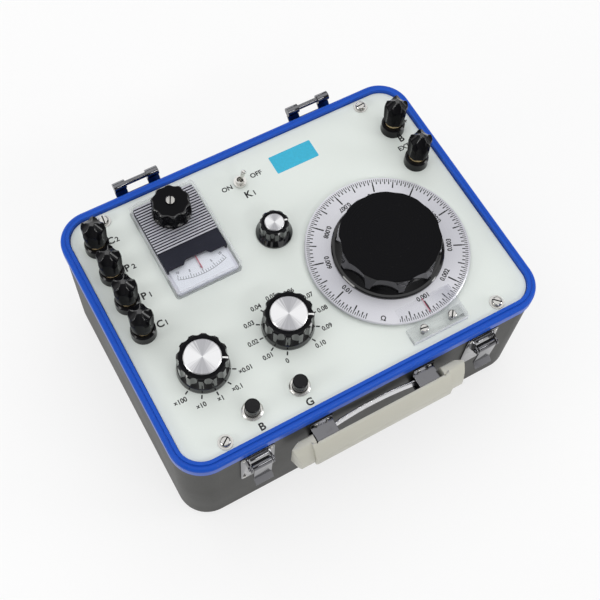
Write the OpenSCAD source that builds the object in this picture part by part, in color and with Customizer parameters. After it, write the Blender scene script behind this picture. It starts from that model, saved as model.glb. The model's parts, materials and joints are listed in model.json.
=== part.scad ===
// Portable double bridge for low resistances, in a flat case with a carrying handle.
// Origin: centre of the bounding box on the ground. X along the width, -Y the front, Z up.

/* [Case] */
// Width over the rim
case_w = 300; // [290:1:330]
// Depth over the rim
case_d = 225; // [220:1:250]
// Height from the underside of the case to the panel's face
case_h = 115; // [105:1:135]
// Outer corner radius of the rim
corner_r = 25; // [20:1:32]
// Thickness of the walls
wall = 2; // [1.5:0.1:2.6]
// Thickness of the floor
floor_t = 2.5; // [2:0.1:4]
// Rounding along the bottom edge
edge_r = 6; // [4:0.5:9]
// How far the walls stand inside the rim's face
wall_inset = 1.2; // [1:0.1:1.8]
// Diameter of a foot
foot_d = 18; // [14:1:22]
// Height of a foot
foot_h = 3; // [2.6:0.2:8]
// Distance of a foot's axis from the rim's faces
foot_in = 38; // [32:1:44]

/* [Rim] */
// Width of the rim seen from above
rim_w = 7; // [6.5:0.1:9]
// Height of the outer ridge over the panel
rim_rise = 2.2; // [1.6:0.1:2.8]
// Height of the inner ridge over the panel
lip_rise = 3.4; // [3:0.1:4]
// Width of the inner ridge
lip_w = 3; // [2.2:0.1:3.6]
// Width of the groove between the ridges
groove_w = 0.5; // [0.3:0.1:1]
// Depth of the groove under the inner ridge
groove_t = 1.5; // [1:0.1:2]
// Radius of the outer ridge
ridge_r = 2.7; // [2:0.1:3.2]
// How far the skirt reaches below the panel's face
rim_drop = 8; // [7:0.2:10]
// Width of the ledge under the panel
ledge_w = 2.5; // [2:0.1:2.8]
// Thickness of the ledge
ledge_t = 1.8; // [1.2:0.1:2.4]

/* [Fits] */
// Running clearance on the radius of a turning or sliding shaft
run = 0.05; // [0.03:0.01:0.1]
// Clearance on the radius of a loose hole
loose = 0.3; // [0.2:0.05:0.5]
// Gap under a flat face that moves
seat = 0.3; // [0.2:0.05:0.5]
// Gap round the panel
panel_gap = 0.5; // [0.3:0.1:0.8]

/* [Panel] */
// Thickness of the panel
panel_t = 3; // [2.4:0.1:4]
// Panel screws in from the case's sides
screw_sx = 37.7; // [35:0.1:41]
// Panel screws in from the case's front and back
screw_sy = 14.1; // [13.8:0.1:15.6]
// Panel screw's shank
screw_d = 4; // [3:0.2:5]
// Panel screw's head
head_d = 8; // [7:0.2:9]
// Height of the head
head_h = 2.6; // [2:0.1:3.4]
// Washer's diameter
washer_d = 10.8; // [10:0.2:12]
// Washer's thickness
washer_t = 0.8; // [0.6:0.1:1.2]
// Diameter of a pillar under the panel
pillar_d = 8; // [7:0.2:8.4]

/* [Dial] */
// Dial axis along X from the panel's centre
dial_x = 63.2; // [61:0.2:65]
// Graduated disc's edge in from the case's front
dial_y = 26.7; // [25.3:0.1:29.3]
// Diameter of the graduated disc
disc_d = 124.4; // [118:0.2:126]
// Thickness of the disc
disc_t = 1.8; // [1.2:0.1:2.2]
// Gap between the panel and the disc
disc_gap = 2.2; // [2:0.1:3]
// Diameter of the dial knob's flange
flange_d = 85; // [80:0.5:92]
// Thickness of the flange
flange_h = 2.4; // [1.6:0.1:3]
// Diameter of the dial knob above the flange
knob_d = 80; // [76:0.5:82]
// Diameter of the dial knob at the top
knob_top_d = 76.5; // [72:0.5:78]
// Height of the dial knob
knob_h = 20.5; // [16:0.5:26]
// Number of scallops round the dial knob
scallops = 10; // [6:1:14]
// Depth of a scallop
scallop_t = 1.25; // [0.9:0.05:1.5]
// Radius of a scallop
scallop_r = 45; // [38:1:50]
// Diameter of the dial's shaft
dial_shaft_d = 10; // [8:0.5:12]
// Outer diameter of the slide wire's former
former_d = 108; // [100:1:112]
// Width of the former's ring
former_w = 9; // [7:0.5:12]
// Height of the former's ring
former_h = 14; // [10:0.5:18]

/* [Cursor] */
// Width of the cursor
cursor_w = 46; // [40:1:52]
// Depth of its foot
cursor_foot = 12; // [11:0.5:14]
// Height of the blade's underside
cursor_lift = 5.4; // [5.2:0.1:7]
// Thickness of the blade
blade_t = 2; // [1.6:0.1:3]
// How far the blade reaches over the disc
blade_over = 15; // [12:0.5:18]
// Distance between its screws
cursor_pitch = 24; // [20:0.5:30]
// Diameter of its screws
cursor_screw_d = 3; // [2.6:0.1:3.4]

/* [Switch knobs] */
// Step knob along X
step_x = -32; // [-34:0.2:-30]
// Step knob along Y
step_y = -42; // [-44:0.2:-40]
// Range knob along X
range_x = -100.5; // [-102:0.2:-98]
// Range knob along Y
range_y = -42.5; // [-44:0.2:-40]
// Diameter of a knob's skirt
skirt_d = 39; // [36:0.5:42]
// Diameter of a knob's fluted body
body_d = 36.5; // [34:0.5:37]
// Diameter of the metal cap
cap_d = 27; // [24:0.5:28]
// Height of a knob
sk_h = 21.5; // [18:0.5:25]
// Number of flutes
flutes = 12; // [8:1:16]
// Shaft of a switch or a potentiometer
shaft_d = 6; // [5:0.2:6.4]
// Diameter of a threaded bush
bush_d = 9; // [8.6:0.2:10]
// Diameter of a switch wafer
wafer_d = 42; // [38:1:46]
// Length of a switch behind the panel
switch_l = 34; // [28:1:40]

/* [Sensitivity knob] */
// Its axis along X from the disc's left edge
sens_x = -5; // [-7:0.2:-3]
// Its axis along Y from the dial's axis
sens_y = 53.6; // [51.6:0.2:55.6]
// Diameter of its skirt
sens_skirt_d = 27.8; // [25:0.2:30]
// Diameter of its fluted body
sens_body_d = 22; // [20:0.5:24]
// Diameter of its cap
sens_cap_d = 14.8; // [13:0.2:16]
// Height of the knob
sens_h = 16.4; // [14:0.2:19]
// Diameter of the potentiometer
pot_d = 24; // [20:1:28]

/* [Galvanometer] */
// Cover's centre along X
galvo_x = -66; // [-68:0.5:-64]
// Cover's centre in from the case's back
galvo_y = 58; // [57.5:0.5:59.5]
// Width of the cover
cover_w = 54; // [52:0.5:56]
// Length of the cover
cover_l = 82.5; // [80:0.5:86]
// Height of the cover
cover_h = 11; // [10.4:0.2:14]
// Thickness of the cover
cover_t = 1.8; // [1.4:0.1:2.2]
// Distance from the cover's centre to the needle's pivot
pivot_off = 21; // [18:0.5:23]
// Length of the needle
needle_l = 49; // [44:1:51]
// Number of ribs on the mask
ribs = 19; // [12:1:22]
// Length of the ribbed part of the mask
ribbed_l = 44; // [40:1:46]
// Length of the plain part of the mask
plain_l = 15; // [12:1:17]
// Diameter of the movement behind the panel
movement_d = 44; // [40:1:46]
// Diameter of the zero knob
zero_d = 30; // [27:0.5:32]
// Height of the zero knob
zero_h = 16.5; // [13:0.5:20]

/* [Toggle] */
// Toggle along X
toggle_x = -6.2; // [-8:0.2:-4]
// Toggle in from the case's back
toggle_y = 32; // [29.5:0.5:34.5]
// Tilt of the lever to each side
toggle_tilt = 15; // [10:1:18]
// Length of the lever over its pivot
lever_l = 14; // [11:0.5:17]
// Diameter of its pivot pin
pivot_d = 1.4; // [1:0.1:2]
// Length of its pivot pin
pivot_l = 5.2; // [4.8:0.1:5.6]

/* [Buttons] */
// Battery button along X
button_x = -85.3; // [-87:0.2:-83]
// Distance to the galvanometer button
button_pitch = 37.8; // [34:0.2:42]
// Buttons in from the case's front
button_y = 25.4; // [24.6:0.1:28.6]
// Diameter of the bezel
bezel_d = 15.5; // [15:0.1:17]
// Diameter of the plunger
plunger_d = 11; // [10:0.1:11.4]
// Height of the plunger over the panel
plunger_h = 12; // [8:0.5:14]
// Travel of the plunger
plunger_go = 4; // [2:0.5:5]

/* [Binding posts] */
// Measuring posts in from the case's left side
post_x = 24.5; // [23:0.5:26]
// First measuring post along Y
post_y = 2; // [0:0.5:4]
// Distance between measuring posts
post_pitch = 26; // [24:0.5:26]
// Battery posts in from the case's right side
ext_x = 25.5; // [23:0.5:27]
// Positive battery post along Y
ext_y = 69; // [67:0.5:71]
// Distance between battery posts
ext_pitch = 35.2; // [32:0.2:38]
// Diameter of a base
base_d = 19; // [17:0.5:20]
// Height of a base
base_h = 8.6; // [7:0.2:11]
// Diameter of a brass collar
collar_d = 13; // [12:0.5:14]
// Height of a collar
collar_h = 2.8; // [2:0.1:4]
// Diameter of a cap
post_cap_d = 18.6; // [17:0.2:19]
// Height of a cap
post_cap_h = 24; // [20:0.5:26]
// Diameter of a stud
stud_d = 6; // [5:0.2:6.6]

/* [Hinges and latches] */
// Distance of a hinge from the middle
hinge_x = 75.5; // [68:0.5:84]
// Length of a hinge
hinge_l = 37; // [33:1:42]
// Length of a knuckle
knuckle_l = 9.8; // [8:0.2:12]
// Diameter of a knuckle
knuckle_d = 7; // [6:0.2:8]
// Diameter of a hinge pin
pin_d = 4; // [3:0.1:4.4]
// Distance of the pin from the wall
hinge_out = 9; // [8:0.2:11]
// Height of the pin over the panel's face
hinge_z = 1.5; // [0.5:0.1:3]
// Distance of a latch from the middle
latch_x = 94.5; // [90:0.5:100]
// Width of a latch plate
latch_w = 27; // [25:0.5:30]
// Length of a latch plate
latch_l = 46; // [42:1:52]
// Width of a latch lever
lever_w = 15; // [13:0.5:17]
// Length of a latch lever under its pin
latch_lever_l = 26; // [24:1:32]
// Diameter of a latch roll
roll_d = 6; // [5.4:0.2:6.8]
// Diameter of a latch pin
latch_pin_d = 3; // [2.4:0.1:3.4]
// Distance of the latch pin from the wall
latch_out = 6.6; // [6.2:0.1:8]

/* [Handle] */
// Height of the handle's middle under the panel's face
handle_z = -28; // [-40:1:-28]
// Height of the grip
grip_h = 24; // [20:0.5:25]
// Length of the grip over its tips
grip_l = 144; // [138:1:150]
// Distance of the grip's front from the wall
grip_out = 22.5; // [22:0.5:27]
// Thickness of the grip between its ends
grip_t = 9.5; // [8:0.5:10]
// Step from the grip back to its end blocks
grip_step = 2.5; // [1.5:0.5:3.5]
// Lean of the grip's face from its foot to its top
grip_lean = 8; // [5:0.5:8]
// Distance of a bracket from the middle
bracket_x = 43; // [42:0.5:44]
// Width of a bracket
bracket_w = 18; // [15:0.5:18]
// Distance of a bracket's front from the wall
bracket_out = 12.4; // [12.2:0.1:12.8]
// Thickness of a bracket
bracket_t = 1.3; // [1:0.1:1.5]
// Height of the strap
strap_h = 11; // [9:0.5:11.4]
// Thickness of the strap
strap_t = 1.2; // [0.8:0.1:1.3]
// Distance of the strap from the wall in the middle
strap_in = 2.6; // [2.2:0.1:2.7]
// Bow of the strap between the middle and a bracket
strap_bow = 3.2; // [2.2:0.1:3.3]

/* [Batteries] */
// Diameter of a large cell
cell_d = 33; // [31:0.2:33.4]
// Length of a large cell
cell_l = 60; // [56:0.5:61]
// Number of large cells
cells = 4; // [3:1:4]
// Wall of the battery box
box_t = 2; // [1.6:0.1:3]
// Thickness of the battery cover
hatch_t = 1.4; // [1:0.1:2]
// How far the cover overlaps the floor
hatch_lap = 7; // [5:0.5:9]

/* [Hidden] */
$fn = 72;
eps = 0.01;
panel_z = foot_h + case_h;
wall_y = case_d / 2 - wall_inset;
case_y = (grip_out - hinge_out - knuckle_d / 2) / 2;
shell_w = case_w - 2 * wall_inset;
shell_d = case_d - 2 * wall_inset;
shell_r = corner_r - wall_inset;
slot_z = -2;
panel_w = case_w - 2 * rim_w - 2 * panel_gap;
panel_d = case_d - 2 * rim_w - 2 * panel_gap;
panel_r = corner_r - rim_w - panel_gap;
screw_xy = [
    for (sx = [-1, 1], sy = [-1, 1])
        [sx * (case_w / 2 - screw_sx), sy * (case_d / 2 - screw_sy)]
];
post_cx = post_x - case_w / 2;
ext_cx = case_w / 2 - ext_x;
galvo_cy = case_d / 2 - galvo_y;
toggle_cy = case_d / 2 - toggle_y;
button_cy = button_y - case_d / 2;
dial_cy = dial_y + disc_d / 2 - case_d / 2;
sens_cx = dial_x - disc_d / 2 + sens_x;
sens_cy = dial_cy + sens_y;
post_xy = [
    [post_cx, post_y],
    [post_cx, post_y + post_pitch],
    [post_cx, post_y + 2 * post_pitch],
    [post_cx, post_y + 3 * post_pitch],
    [ext_cx, ext_y],
    [ext_cx, ext_y - ext_pitch]
];
button_xy = [[button_x, button_cy], [button_x + button_pitch, button_cy]];
pivot_y = galvo_cy + pivot_off;
bush_hole = bush_d / 2 + loose;
neck_d = dial_shaft_d + 6;
disc_top = disc_gap + disc_t;
collar_z = base_h + seat;
cap_z = collar_z + collar_h + seat;
box_in_l = cells * (cell_d + 0.6) + 1;
block_w = 26.5;
block_l = 48.5;
block_h = 16.5;
box_w = box_in_l + box_t + block_w + 1;
box_d = cell_l + 2;
box_h = cell_d + 2;
strap_r = (bracket_x * bracket_x + strap_bow * strap_bow) / (2 * strap_bow);
latch_z = -rim_drop - 12;
black = [0.07, 0.07, 0.08];
steel = [0.72, 0.73, 0.75];
brass = [0.78, 0.62, 0.3];

// Points along an arc
function arc(c, r, a0, a1, n = 6) =
    [for (i = [0:n]) let (a = a0 + (a1 - a0) * i / n) [c[0] + r * cos(a), c[1] + r * sin(a)]];

// Outline of a rectangle with round corners
function rounded(w, d, r, n = 10) = concat(
    arc([w / 2 - r, d / 2 - r], r, 0, 90, n),
    arc([r - w / 2, d / 2 - r], r, 90, 180, n),
    arc([r - w / 2, r - d / 2], r, 180, 270, n),
    arc([w / 2 - r, r - d / 2], r, 270, 360, n)
);

// Places its children on the panel's face
module on_panel(x, y, z = 0) {
    translate([x, case_y + y, panel_z + z]) children();
}

// Places its children on the front wall, with +Y pointing outward
module on_front(x, z) {
    translate([x, case_y - wall_y, panel_z + z]) mirror([0, 1, 0]) children();
}

// Places its children on the back wall, with +Y pointing outward
module on_back(x, z) {
    translate([x, case_y + wall_y, panel_z + z]) children();
}

// Runs a section drawn as (outward, up) along X
module run_x(len) {
    rotate([90, 0, 90]) translate([0, 0, -len / 2]) linear_extrude(len) children();
}

// Carries a section drawn as (outward, up) round a rounded rectangle
module frame_sweep(w, d, r) {
    for (s = [0, 1]) {
        rotate([0, 0, 180 * s]) translate([0, d / 2, 0]) run_x(w - 2 * r) children();
        rotate([0, 0, 180 * s]) translate([w / 2, 0, 0]) rotate([0, 0, -90]) run_x(d - 2 * r) children();
        rotate([0, 0, 180 * s]) translate([w / 2 - r, d / 2 - r, 0])
            rotate_extrude(angle = 90) translate([r, 0]) children();
        rotate([0, 0, 180 * s]) translate([r - w / 2, d / 2 - r, 0]) rotate([0, 0, 90])
            rotate_extrude(angle = 90) translate([r, 0]) children();
    }
}

module ring(d, bore, h) {
    difference() {
        cylinder(d = d, h = h);
        translate([0, 0, -1]) cylinder(d = bore, h = h + 2);
    }
}

module hex(af, h) {
    linear_extrude(h) polygon([for (i = [0:5]) af / 2 / cos(30) * [cos(60 * i), sin(60 * i)]]);
}

// Case
module wall_section() {
    top = case_h + slot_z;
    polygon(concat(
        arc([-edge_r, edge_r], edge_r, -90, 0, 6),
        [[0, top], [-wall, top]],
        [for (i = [0:6]) [
            -edge_r + (edge_r - wall) * cos(15 * i),
            edge_r - (edge_r - floor_t) * sin(15 * i)
        ]],
        [[-edge_r - 2, floor_t], [-edge_r - 2, 0]]
    ));
}

module case_shell() {
    color([0.34, 0.34, 0.32]) difference() {
        translate([0, case_y, foot_h]) {
            frame_sweep(shell_w, shell_d, shell_r) wall_section();
            linear_extrude(floor_t)
                polygon(rounded(shell_w - 2 * edge_r - 2, shell_d - 2 * edge_r - 2, shell_r - edge_r - 1));
        }
        translate([-box_w / 2, case_y - box_d / 2, foot_h - 1]) cube([box_w, box_d, floor_t + 2]);
    }
}

module rim_frame() {
    g = -rim_w + lip_w;
    in = -wall_inset - wall;
    start = acos(max(-0.5, (g + groove_w) / ridge_r + 1));
    color([0.2, 0.36, 0.84]) translate([0, case_y, panel_z])
        frame_sweep(case_w, case_d, corner_r) polygon(concat(
            [
                [-rim_w - ledge_w, -panel_t],
                [-rim_w, -panel_t],
                [-rim_w, lip_rise - 0.4],
                [-rim_w + 0.4, lip_rise],
                [g - 0.4, lip_rise],
                [g, lip_rise - groove_t],
                [g + groove_w, lip_rise - groove_t]
            ],
            arc([-ridge_r, rim_rise - ridge_r], ridge_r, start, 0, 8),
            [
                [0, -rim_drop + 1],
                [-0.4, -rim_drop],
                [-wall_inset, -rim_drop],
                [-wall_inset, slot_z],
                [in, slot_z],
                [in, -rim_drop],
                [in - 1.4, -rim_drop],
                [in - 1.4, -panel_t - ledge_t],
                [-rim_w - ledge_w, -panel_t - ledge_t]
            ]
        ));
}

module rubber_feet() {
    color(black) for (sx = [-1, 1], sy = [-1, 1])
        translate([sx * (case_w / 2 - foot_in), case_y + sy * (case_d / 2 - foot_in), 0])
            difference() {
                rotate_extrude() polygon([
                    [0, 0], [foot_d / 2 - 1, 0], [foot_d / 2, 1], [foot_d / 2, foot_h], [0, foot_h]
                ]);
                translate([0, 0, -1]) cylinder(d = 7, h = 2.4);
            }
}

module panel_pillars() {
    color(steel) for (p = screw_xy)
        translate([p[0], case_y + p[1], foot_h + floor_t]) difference() {
            cylinder(d = pillar_d, h = case_h - floor_t - panel_t);
            translate([0, 0, case_h - floor_t - panel_t - 14])
                cylinder(d = screw_d + 2 * run, h = 20);
        }
}

module screw(d, head, hh, l) {
    difference() {
        union() {
            translate([0, 0, -l]) cylinder(d = d, h = l + 0.5);
            rotate_extrude() polygon(concat(
                [[0, 0], [head / 2, 0], [head / 2, hh * 0.35]],
                arc([head / 2 - hh * 0.65, hh * 0.35], hh * 0.65, 15, 90, 5),
                [[0, hh]]
            ));
        }
        translate([-head / 2 - 1, -0.5, hh - 1]) cube([head + 2, 1, 2]);
    }
}

module panel_screws() {
    color(steel) {
        for (i = [0:3]) on_panel(screw_xy[i][0], screw_xy[i][1]) {
            ring(washer_d, screw_d + 2 * loose, washer_t);
            translate([0, 0, washer_t]) rotate([0, 0, 35 + 50 * i]) screw(screw_d, head_d, head_h, 12);
        }
        for (s = [-1, 1]) on_panel(dial_x + s * cursor_pitch / 2, cursor_y(), cursor_lift + blade_t)
            rotate([0, 0, 20 + 30 * s]) screw(cursor_screw_d, 6.6, 1.8, cursor_lift + blade_t + panel_t);
    }
}

module front_panel() {
    color([0.9, 0.92, 0.9]) translate([0, case_y, panel_z - panel_t]) linear_extrude(panel_t)
        difference() {
            polygon(rounded(panel_w, panel_d, panel_r));
            for (p = screw_xy) translate(p) circle(r = screw_d / 2 + loose);
            for (p = post_xy) translate(p) circle(r = stud_d / 2 + loose);
            for (p = button_xy) translate(p) circle(r = button_neck() / 2 + loose);
            for (p = [[step_x, step_y], [range_x, range_y], [sens_cx, sens_cy]])
                translate(p) circle(r = bush_hole);
            for (s = [-1, 1]) translate([dial_x + s * cursor_pitch / 2, cursor_y()])
                circle(r = cursor_screw_d / 2 + run);
            translate([dial_x, dial_cy]) circle(r = neck_d / 2 + loose);
            translate([toggle_x, toggle_cy]) circle(r = toggle_bush() / 2 + loose);
            translate([galvo_x, pivot_y]) circle(r = movement_d / 2 - 4 + loose);
        }
}

// Battery supply
module battery_hatch() {
    color([0.3, 0.3, 0.29]) translate([0, case_y, foot_h - hatch_t]) linear_extrude(hatch_t)
        polygon(rounded(box_w + 2 * hatch_lap, box_d + 2 * hatch_lap, 5, 4));
}

module battery_box() {
    color([0.16, 0.16, 0.17]) translate([0, case_y, foot_h + floor_t]) difference() {
        translate([-box_w / 2 - box_t, -box_d / 2 - box_t, 0])
            cube([box_w + 2 * box_t, box_d + 2 * box_t, box_h - floor_t + box_t]);
        translate([-box_w / 2, -box_d / 2, -1]) cube([box_in_l, box_d, box_h - floor_t + 1]);
        translate([box_w / 2 - block_w - 1, -box_d / 2, -1]) cube([block_w + 1, box_d, box_h - floor_t + 1]);
    }
}

module batteries() {
    color([0.2, 0.3, 0.5]) {
        for (i = [0:cells - 1])
            translate([
                -box_w / 2 + 0.8 + (cell_d + 0.6) * (i + 0.5),
                case_y,
                foot_h + seat + cell_d / 2
            ]) rotate([90, 0, 0]) {
                translate([0, 0, -cell_l / 2]) cylinder(d = cell_d, h = cell_l - 2);
                translate([0, 0, cell_l / 2 - 3]) cylinder(d = 9, h = 3);
            }
        for (i = [0, 1])
            translate([
                box_w / 2 - block_w - 0.5,
                case_y - block_l / 2,
                foot_h + seat + i * (block_h + seat)
            ]) cube([block_w, block_l, block_h]);
    }
}

// Galvanometer
module galvanometer_base() {
    w = cover_w - 2 * cover_t - 2 * loose;
    l = cover_l - 2 * cover_t - 2 * loose;
    color([0.1, 0.1, 0.11]) {
        on_panel(galvo_x, galvo_cy) linear_extrude(2) polygon(rounded(w, l, 2.5, 4));
        on_panel(galvo_x, pivot_y, -panel_t - 26) {
            cylinder(d = movement_d, h = 26);
            cylinder(d = movement_d - 8, h = 26 + panel_t + 1);
            cylinder(d = 3, h = 26 + panel_t + 5.2);
        }
    }
}

module galvanometer_scale() {
    color([0.94, 0.94, 0.92]) on_panel(galvo_x, galvo_cy - cover_l / 2 + 13.5, 2)
        linear_extrude(0.8) polygon(rounded(cover_w - 2 * cover_t - 5, 22, 1, 2));
}

module galvanometer_mask() {
    w = cover_w - 2 * cover_t - 1;
    l = ribbed_l + plain_l;
    back = cover_l / 2 - cover_t - 0.5;
    y0 = back - l;
    rib_p = ribbed_l / ribs;
    color([0.13, 0.11, 0.1]) on_panel(galvo_x, galvo_cy) difference() {
        intersection() {
            union() {
                translate([0, 0, 6]) linear_extrude(1.4) polygon([
                    [-w / 2, back], [-w / 2, y0], [-w * 0.22, y0], [-w * 0.17, y0 + 3],
                    [w * 0.17, y0 + 3], [w * 0.22, y0], [w / 2, y0], [w / 2, back]
                ]);
                for (s = [-1, 1]) translate([s * (w / 2 - 0.7) - 0.7, y0, 2]) cube([1.4, l, 5]);
                for (i = [0:ribs - 1])
                    translate([-w / 2, y0 + plain_l + rib_p * (i + 0.25), 6.4]) cube([w, rib_p * 0.5, 2.2]);
            }
            linear_extrude(cover_h) polygon(rounded(w, 2 * back, 3, 4));
        }
        translate([0, pivot_off, 0]) cylinder(d = 8, h = 20);
    }
}

module galvanometer_cover() {
    color([0.85, 0.9, 0.92, 0.35]) on_panel(galvo_x, galvo_cy) difference() {
        union() {
            linear_extrude(cover_h - 1.4) polygon(rounded(cover_w, cover_l, 3, 6));
            linear_extrude(cover_h) polygon(rounded(cover_w - 2.4, cover_l - 2.4, 2, 6));
        }
        translate([0, 0, -1]) linear_extrude(cover_h - cover_t + 1)
            polygon(rounded(cover_w - 2 * cover_t, cover_l - 2 * cover_t, 3, 6));
        translate([0, pivot_off, 0]) cylinder(d = shaft_d + 2 * run, h = 20);
    }
}

module galvanometer_needle() {
    color([0.75, 0.1, 0.1]) on_panel(galvo_x, pivot_y, 4) difference() {
        union() {
            cylinder(d = 7, h = 1);
            translate([-0.4, -needle_l, 0.2]) cube([0.8, needle_l, 0.6]);
            translate([-1.5, 0, 0]) cube([3, 11, 1]);
        }
        translate([0, 0, -1]) cylinder(d = 3 + 2 * run, h = 4);
    }
}

module zero_knob() {
    r = zero_d / 2;
    color(black) on_panel(galvo_x, pivot_y, cover_h + seat) difference() {
        union() {
            rotate_extrude() polygon(concat(
                [[0, 0], [r - 0.6, 0], [r, 0.8]],
                arc([r - 2.2, zero_h - 2.2], 2.2, 0, 90, 5),
                [[0, zero_h]]
            ));
            translate([0, 0, -seat - cover_t - 1.4]) cylinder(d = shaft_d, h = seat + cover_t + 2);
        }
        for (i = [0:9]) rotate([0, 0, 36 * i + 18]) translate([r + 2.6, 0, 3])
            cylinder(r = 4.5, h = zero_h);
        translate([0, 0, zero_h - 5]) cylinder(d = 5.2, h = 10);
    }
}

// Toggle switch
function toggle_bush() = 6.5;

module toggle_switch() {
    color(steel) on_panel(toggle_x, toggle_cy) {
        difference() {
            union() {
                translate([0, 0, -panel_t - 1]) cylinder(d = toggle_bush(), h = panel_t + 6);
                translate([-7, -6.5, -panel_t - 12]) cube([14, 13, 12]);
            }
            rotate_extrude() polygon([
                [0, -1.5], [2.15, -1.5], [2.15, 3.2], [2.75, 6], [0, 6]
            ]);
            translate([0, 0, 1.5]) rotate([90, 0, 0])
                cylinder(d = pivot_d + 2 * run, h = pivot_l + 2 * run, center = true);
        }
        ring(10, toggle_bush() + 2 * run, 2.4);
    }
}

module toggle_lever() {
    color(steel) on_panel(toggle_x, toggle_cy, 1.5) rotate([0, toggle_tilt, 0]) {
        sphere(r = 1.95);
        rotate([90, 0, 0]) cylinder(d = pivot_d, h = pivot_l, center = true);
        rotate_extrude() polygon(concat(
            [[0, 0], [1.15, 0], [1.15, 5], [1.9, lever_l - 2.6]],
            arc([0, lever_l - 2], 2, 0, 90, 6)
        ));
    }
}

// Dial with its slide wire
function cursor_y() = dial_cy - disc_d / 2 - 1.4 - cursor_foot / 2;

module slide_wire_former() {
    r = former_d / 2;
    color([0.3, 0.16, 0.1]) on_panel(dial_x, dial_cy, -panel_t - former_h) difference() {
        union() {
            ring(former_d, former_d - 2 * former_w, former_h);
            cylinder(d = neck_d + 14, h = former_h);
            cylinder(d = neck_d, h = former_h + panel_t + 1.2);
            for (a = [30, 150, 270]) rotate([0, 0, a])
                translate([neck_d / 2, -5, former_h - 6]) cube([r - neck_d / 2 - former_w / 2, 10, 6]);
        }
        translate([0, 0, -1]) cylinder(d = dial_shaft_d + 2 * run, h = former_h + 10);
    }
}

module dial_shaft() {
    arm_z = -panel_t - former_h - 4;
    color(steel) on_panel(dial_x, dial_cy) {
        translate([0, 0, arm_z - 2]) cylinder(d = dial_shaft_d, h = disc_top + knob_h - 5 - arm_z + 2);
        translate([0, 0, arm_z]) difference() {
            union() {
                cylinder(d = dial_shaft_d + 8, h = 3);
                translate([-4, 0, 0.6]) cube([8, former_d / 2 - former_w / 2, 1.6]);
                translate([0, former_d / 2 - former_w / 2, 0.6]) cylinder(d = 8, h = 1.6);
                translate([0, former_d / 2 - former_w / 2, 0.6]) cylinder(d = 4, h = 3.1);
            }
            translate([0, 0, -1]) cylinder(d = dial_shaft_d + 2 * run, h = 6);
        }
    }
}

module dial_disc() {
    color([0.86, 0.87, 0.86]) on_panel(dial_x, dial_cy, disc_gap) rotate_extrude() polygon([
        [dial_shaft_d / 2 + run, 0], [disc_d / 2 - 0.3, 0], [disc_d / 2, 0.3],
        [disc_d / 2, disc_t - 0.5], [disc_d / 2 - 0.6, disc_t], [dial_shaft_d / 2 + run, disc_t]
    ]);
}

module dial_knob() {
    r = knob_d / 2;
    t = knob_top_d / 2;
    h = knob_h;
    color(black) on_panel(dial_x, dial_cy, disc_top) difference() {
        rotate_extrude() polygon(concat(
            [
                [dial_shaft_d / 2 + run, 0], [flange_d / 2, 0], [flange_d / 2, flange_h - 0.8],
                [flange_d / 2 - 0.8, flange_h], [r, flange_h + 0.4]
            ],
            arc([t - 1.6, h - 2.4], 1.6, 5, 90, 5),
            [[t - 6, h - 0.5], [t / 2, h], [0, h], [0, h - 4], [dial_shaft_d / 2 + run, h - 4]]
        ));
        for (i = [0:scallops - 1]) rotate([0, 0, 360 / scallops * (i + 0.5)])
            translate([t + scallop_r - scallop_t, 0, flange_h + 1])
                cylinder(r = scallop_r, h = h);
    }
}

module cursor_plate() {
    f = -cursor_foot / 2;
    top = cursor_lift + blade_t;
    color([0.86, 0.9, 0.92, 0.4]) on_panel(dial_x, cursor_y()) difference() {
        run_x(cursor_w) polygon([
            [f, 0], [-f, 0], [-f, cursor_lift], [-f + 1.4 + blade_over, cursor_lift],
            [-f + 1.4 + blade_over, top - 0.5], [-f + 0.9 + blade_over, top],
            [f + 2.4, top], [f, top - 2.4]
        ]);
        for (s = [-1, 1]) translate([s * cursor_pitch / 2, 0, -1])
            cylinder(d = cursor_screw_d + 2 * run, h = 20);
    }
}

// Knobs with a skirt and a metal cap
module skirted_knob(sd, bd, cd, h, n) {
    color(black) difference() {
        rotate_extrude() polygon([
            [0, h - 4], [shaft_d / 2 + run, h - 4], [shaft_d / 2 + run, 4.6], [bd / 2 - 2.6, 4.6],
            [bd / 2 - 2.6, seat], [sd / 2, seat], [sd / 2, 1.8], [bd / 2 + 0.6, 5.2],
            [bd / 2, 6.2], [bd / 2, h - 1.6], [bd / 2 - 1.2, h - 0.6], [cd / 2 + 0.6, h - 0.4],
            [cd / 2 + 0.1, h - 1], [0, h - 1]
        ]);
        for (i = [0:n - 1]) rotate([0, 0, 360 / n * (i + 0.5)])
            translate([bd * 0.57, 0, 5.7]) cylinder(d = bd * 0.23, h = h);
    }
}

module knob_cap(cd, h) {
    color([0.82, 0.83, 0.84]) translate([0, 0, h - 1]) rotate_extrude() polygon([
        [0, 0], [cd / 2, 0], [cd / 2, 0.5], [cd / 2 - 0.6, 1], [cd / 5, 0.8], [0, 0.8]
    ]);
}

module control_shaft(h, l) {
    color(steel) translate([0, 0, -l]) cylinder(d = shaft_d, h = l + h - 5);
}

// Bush with its nut, for a control held in the panel
module bush(l) {
    difference() {
        union() {
            translate([0, 0, -panel_t - l]) cylinder(d = bush_d, h = panel_t + l + 3.2);
            translate([0, 0, -panel_t - l]) children();
        }
        translate([0, 0, -panel_t - l - 40]) cylinder(d = shaft_d + 2 * run, h = 80);
    }
    difference() {
        hex(12.4, 2.4);
        translate([0, 0, -1]) cylinder(d = bush_d + 2 * run, h = 6);
    }
}

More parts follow.
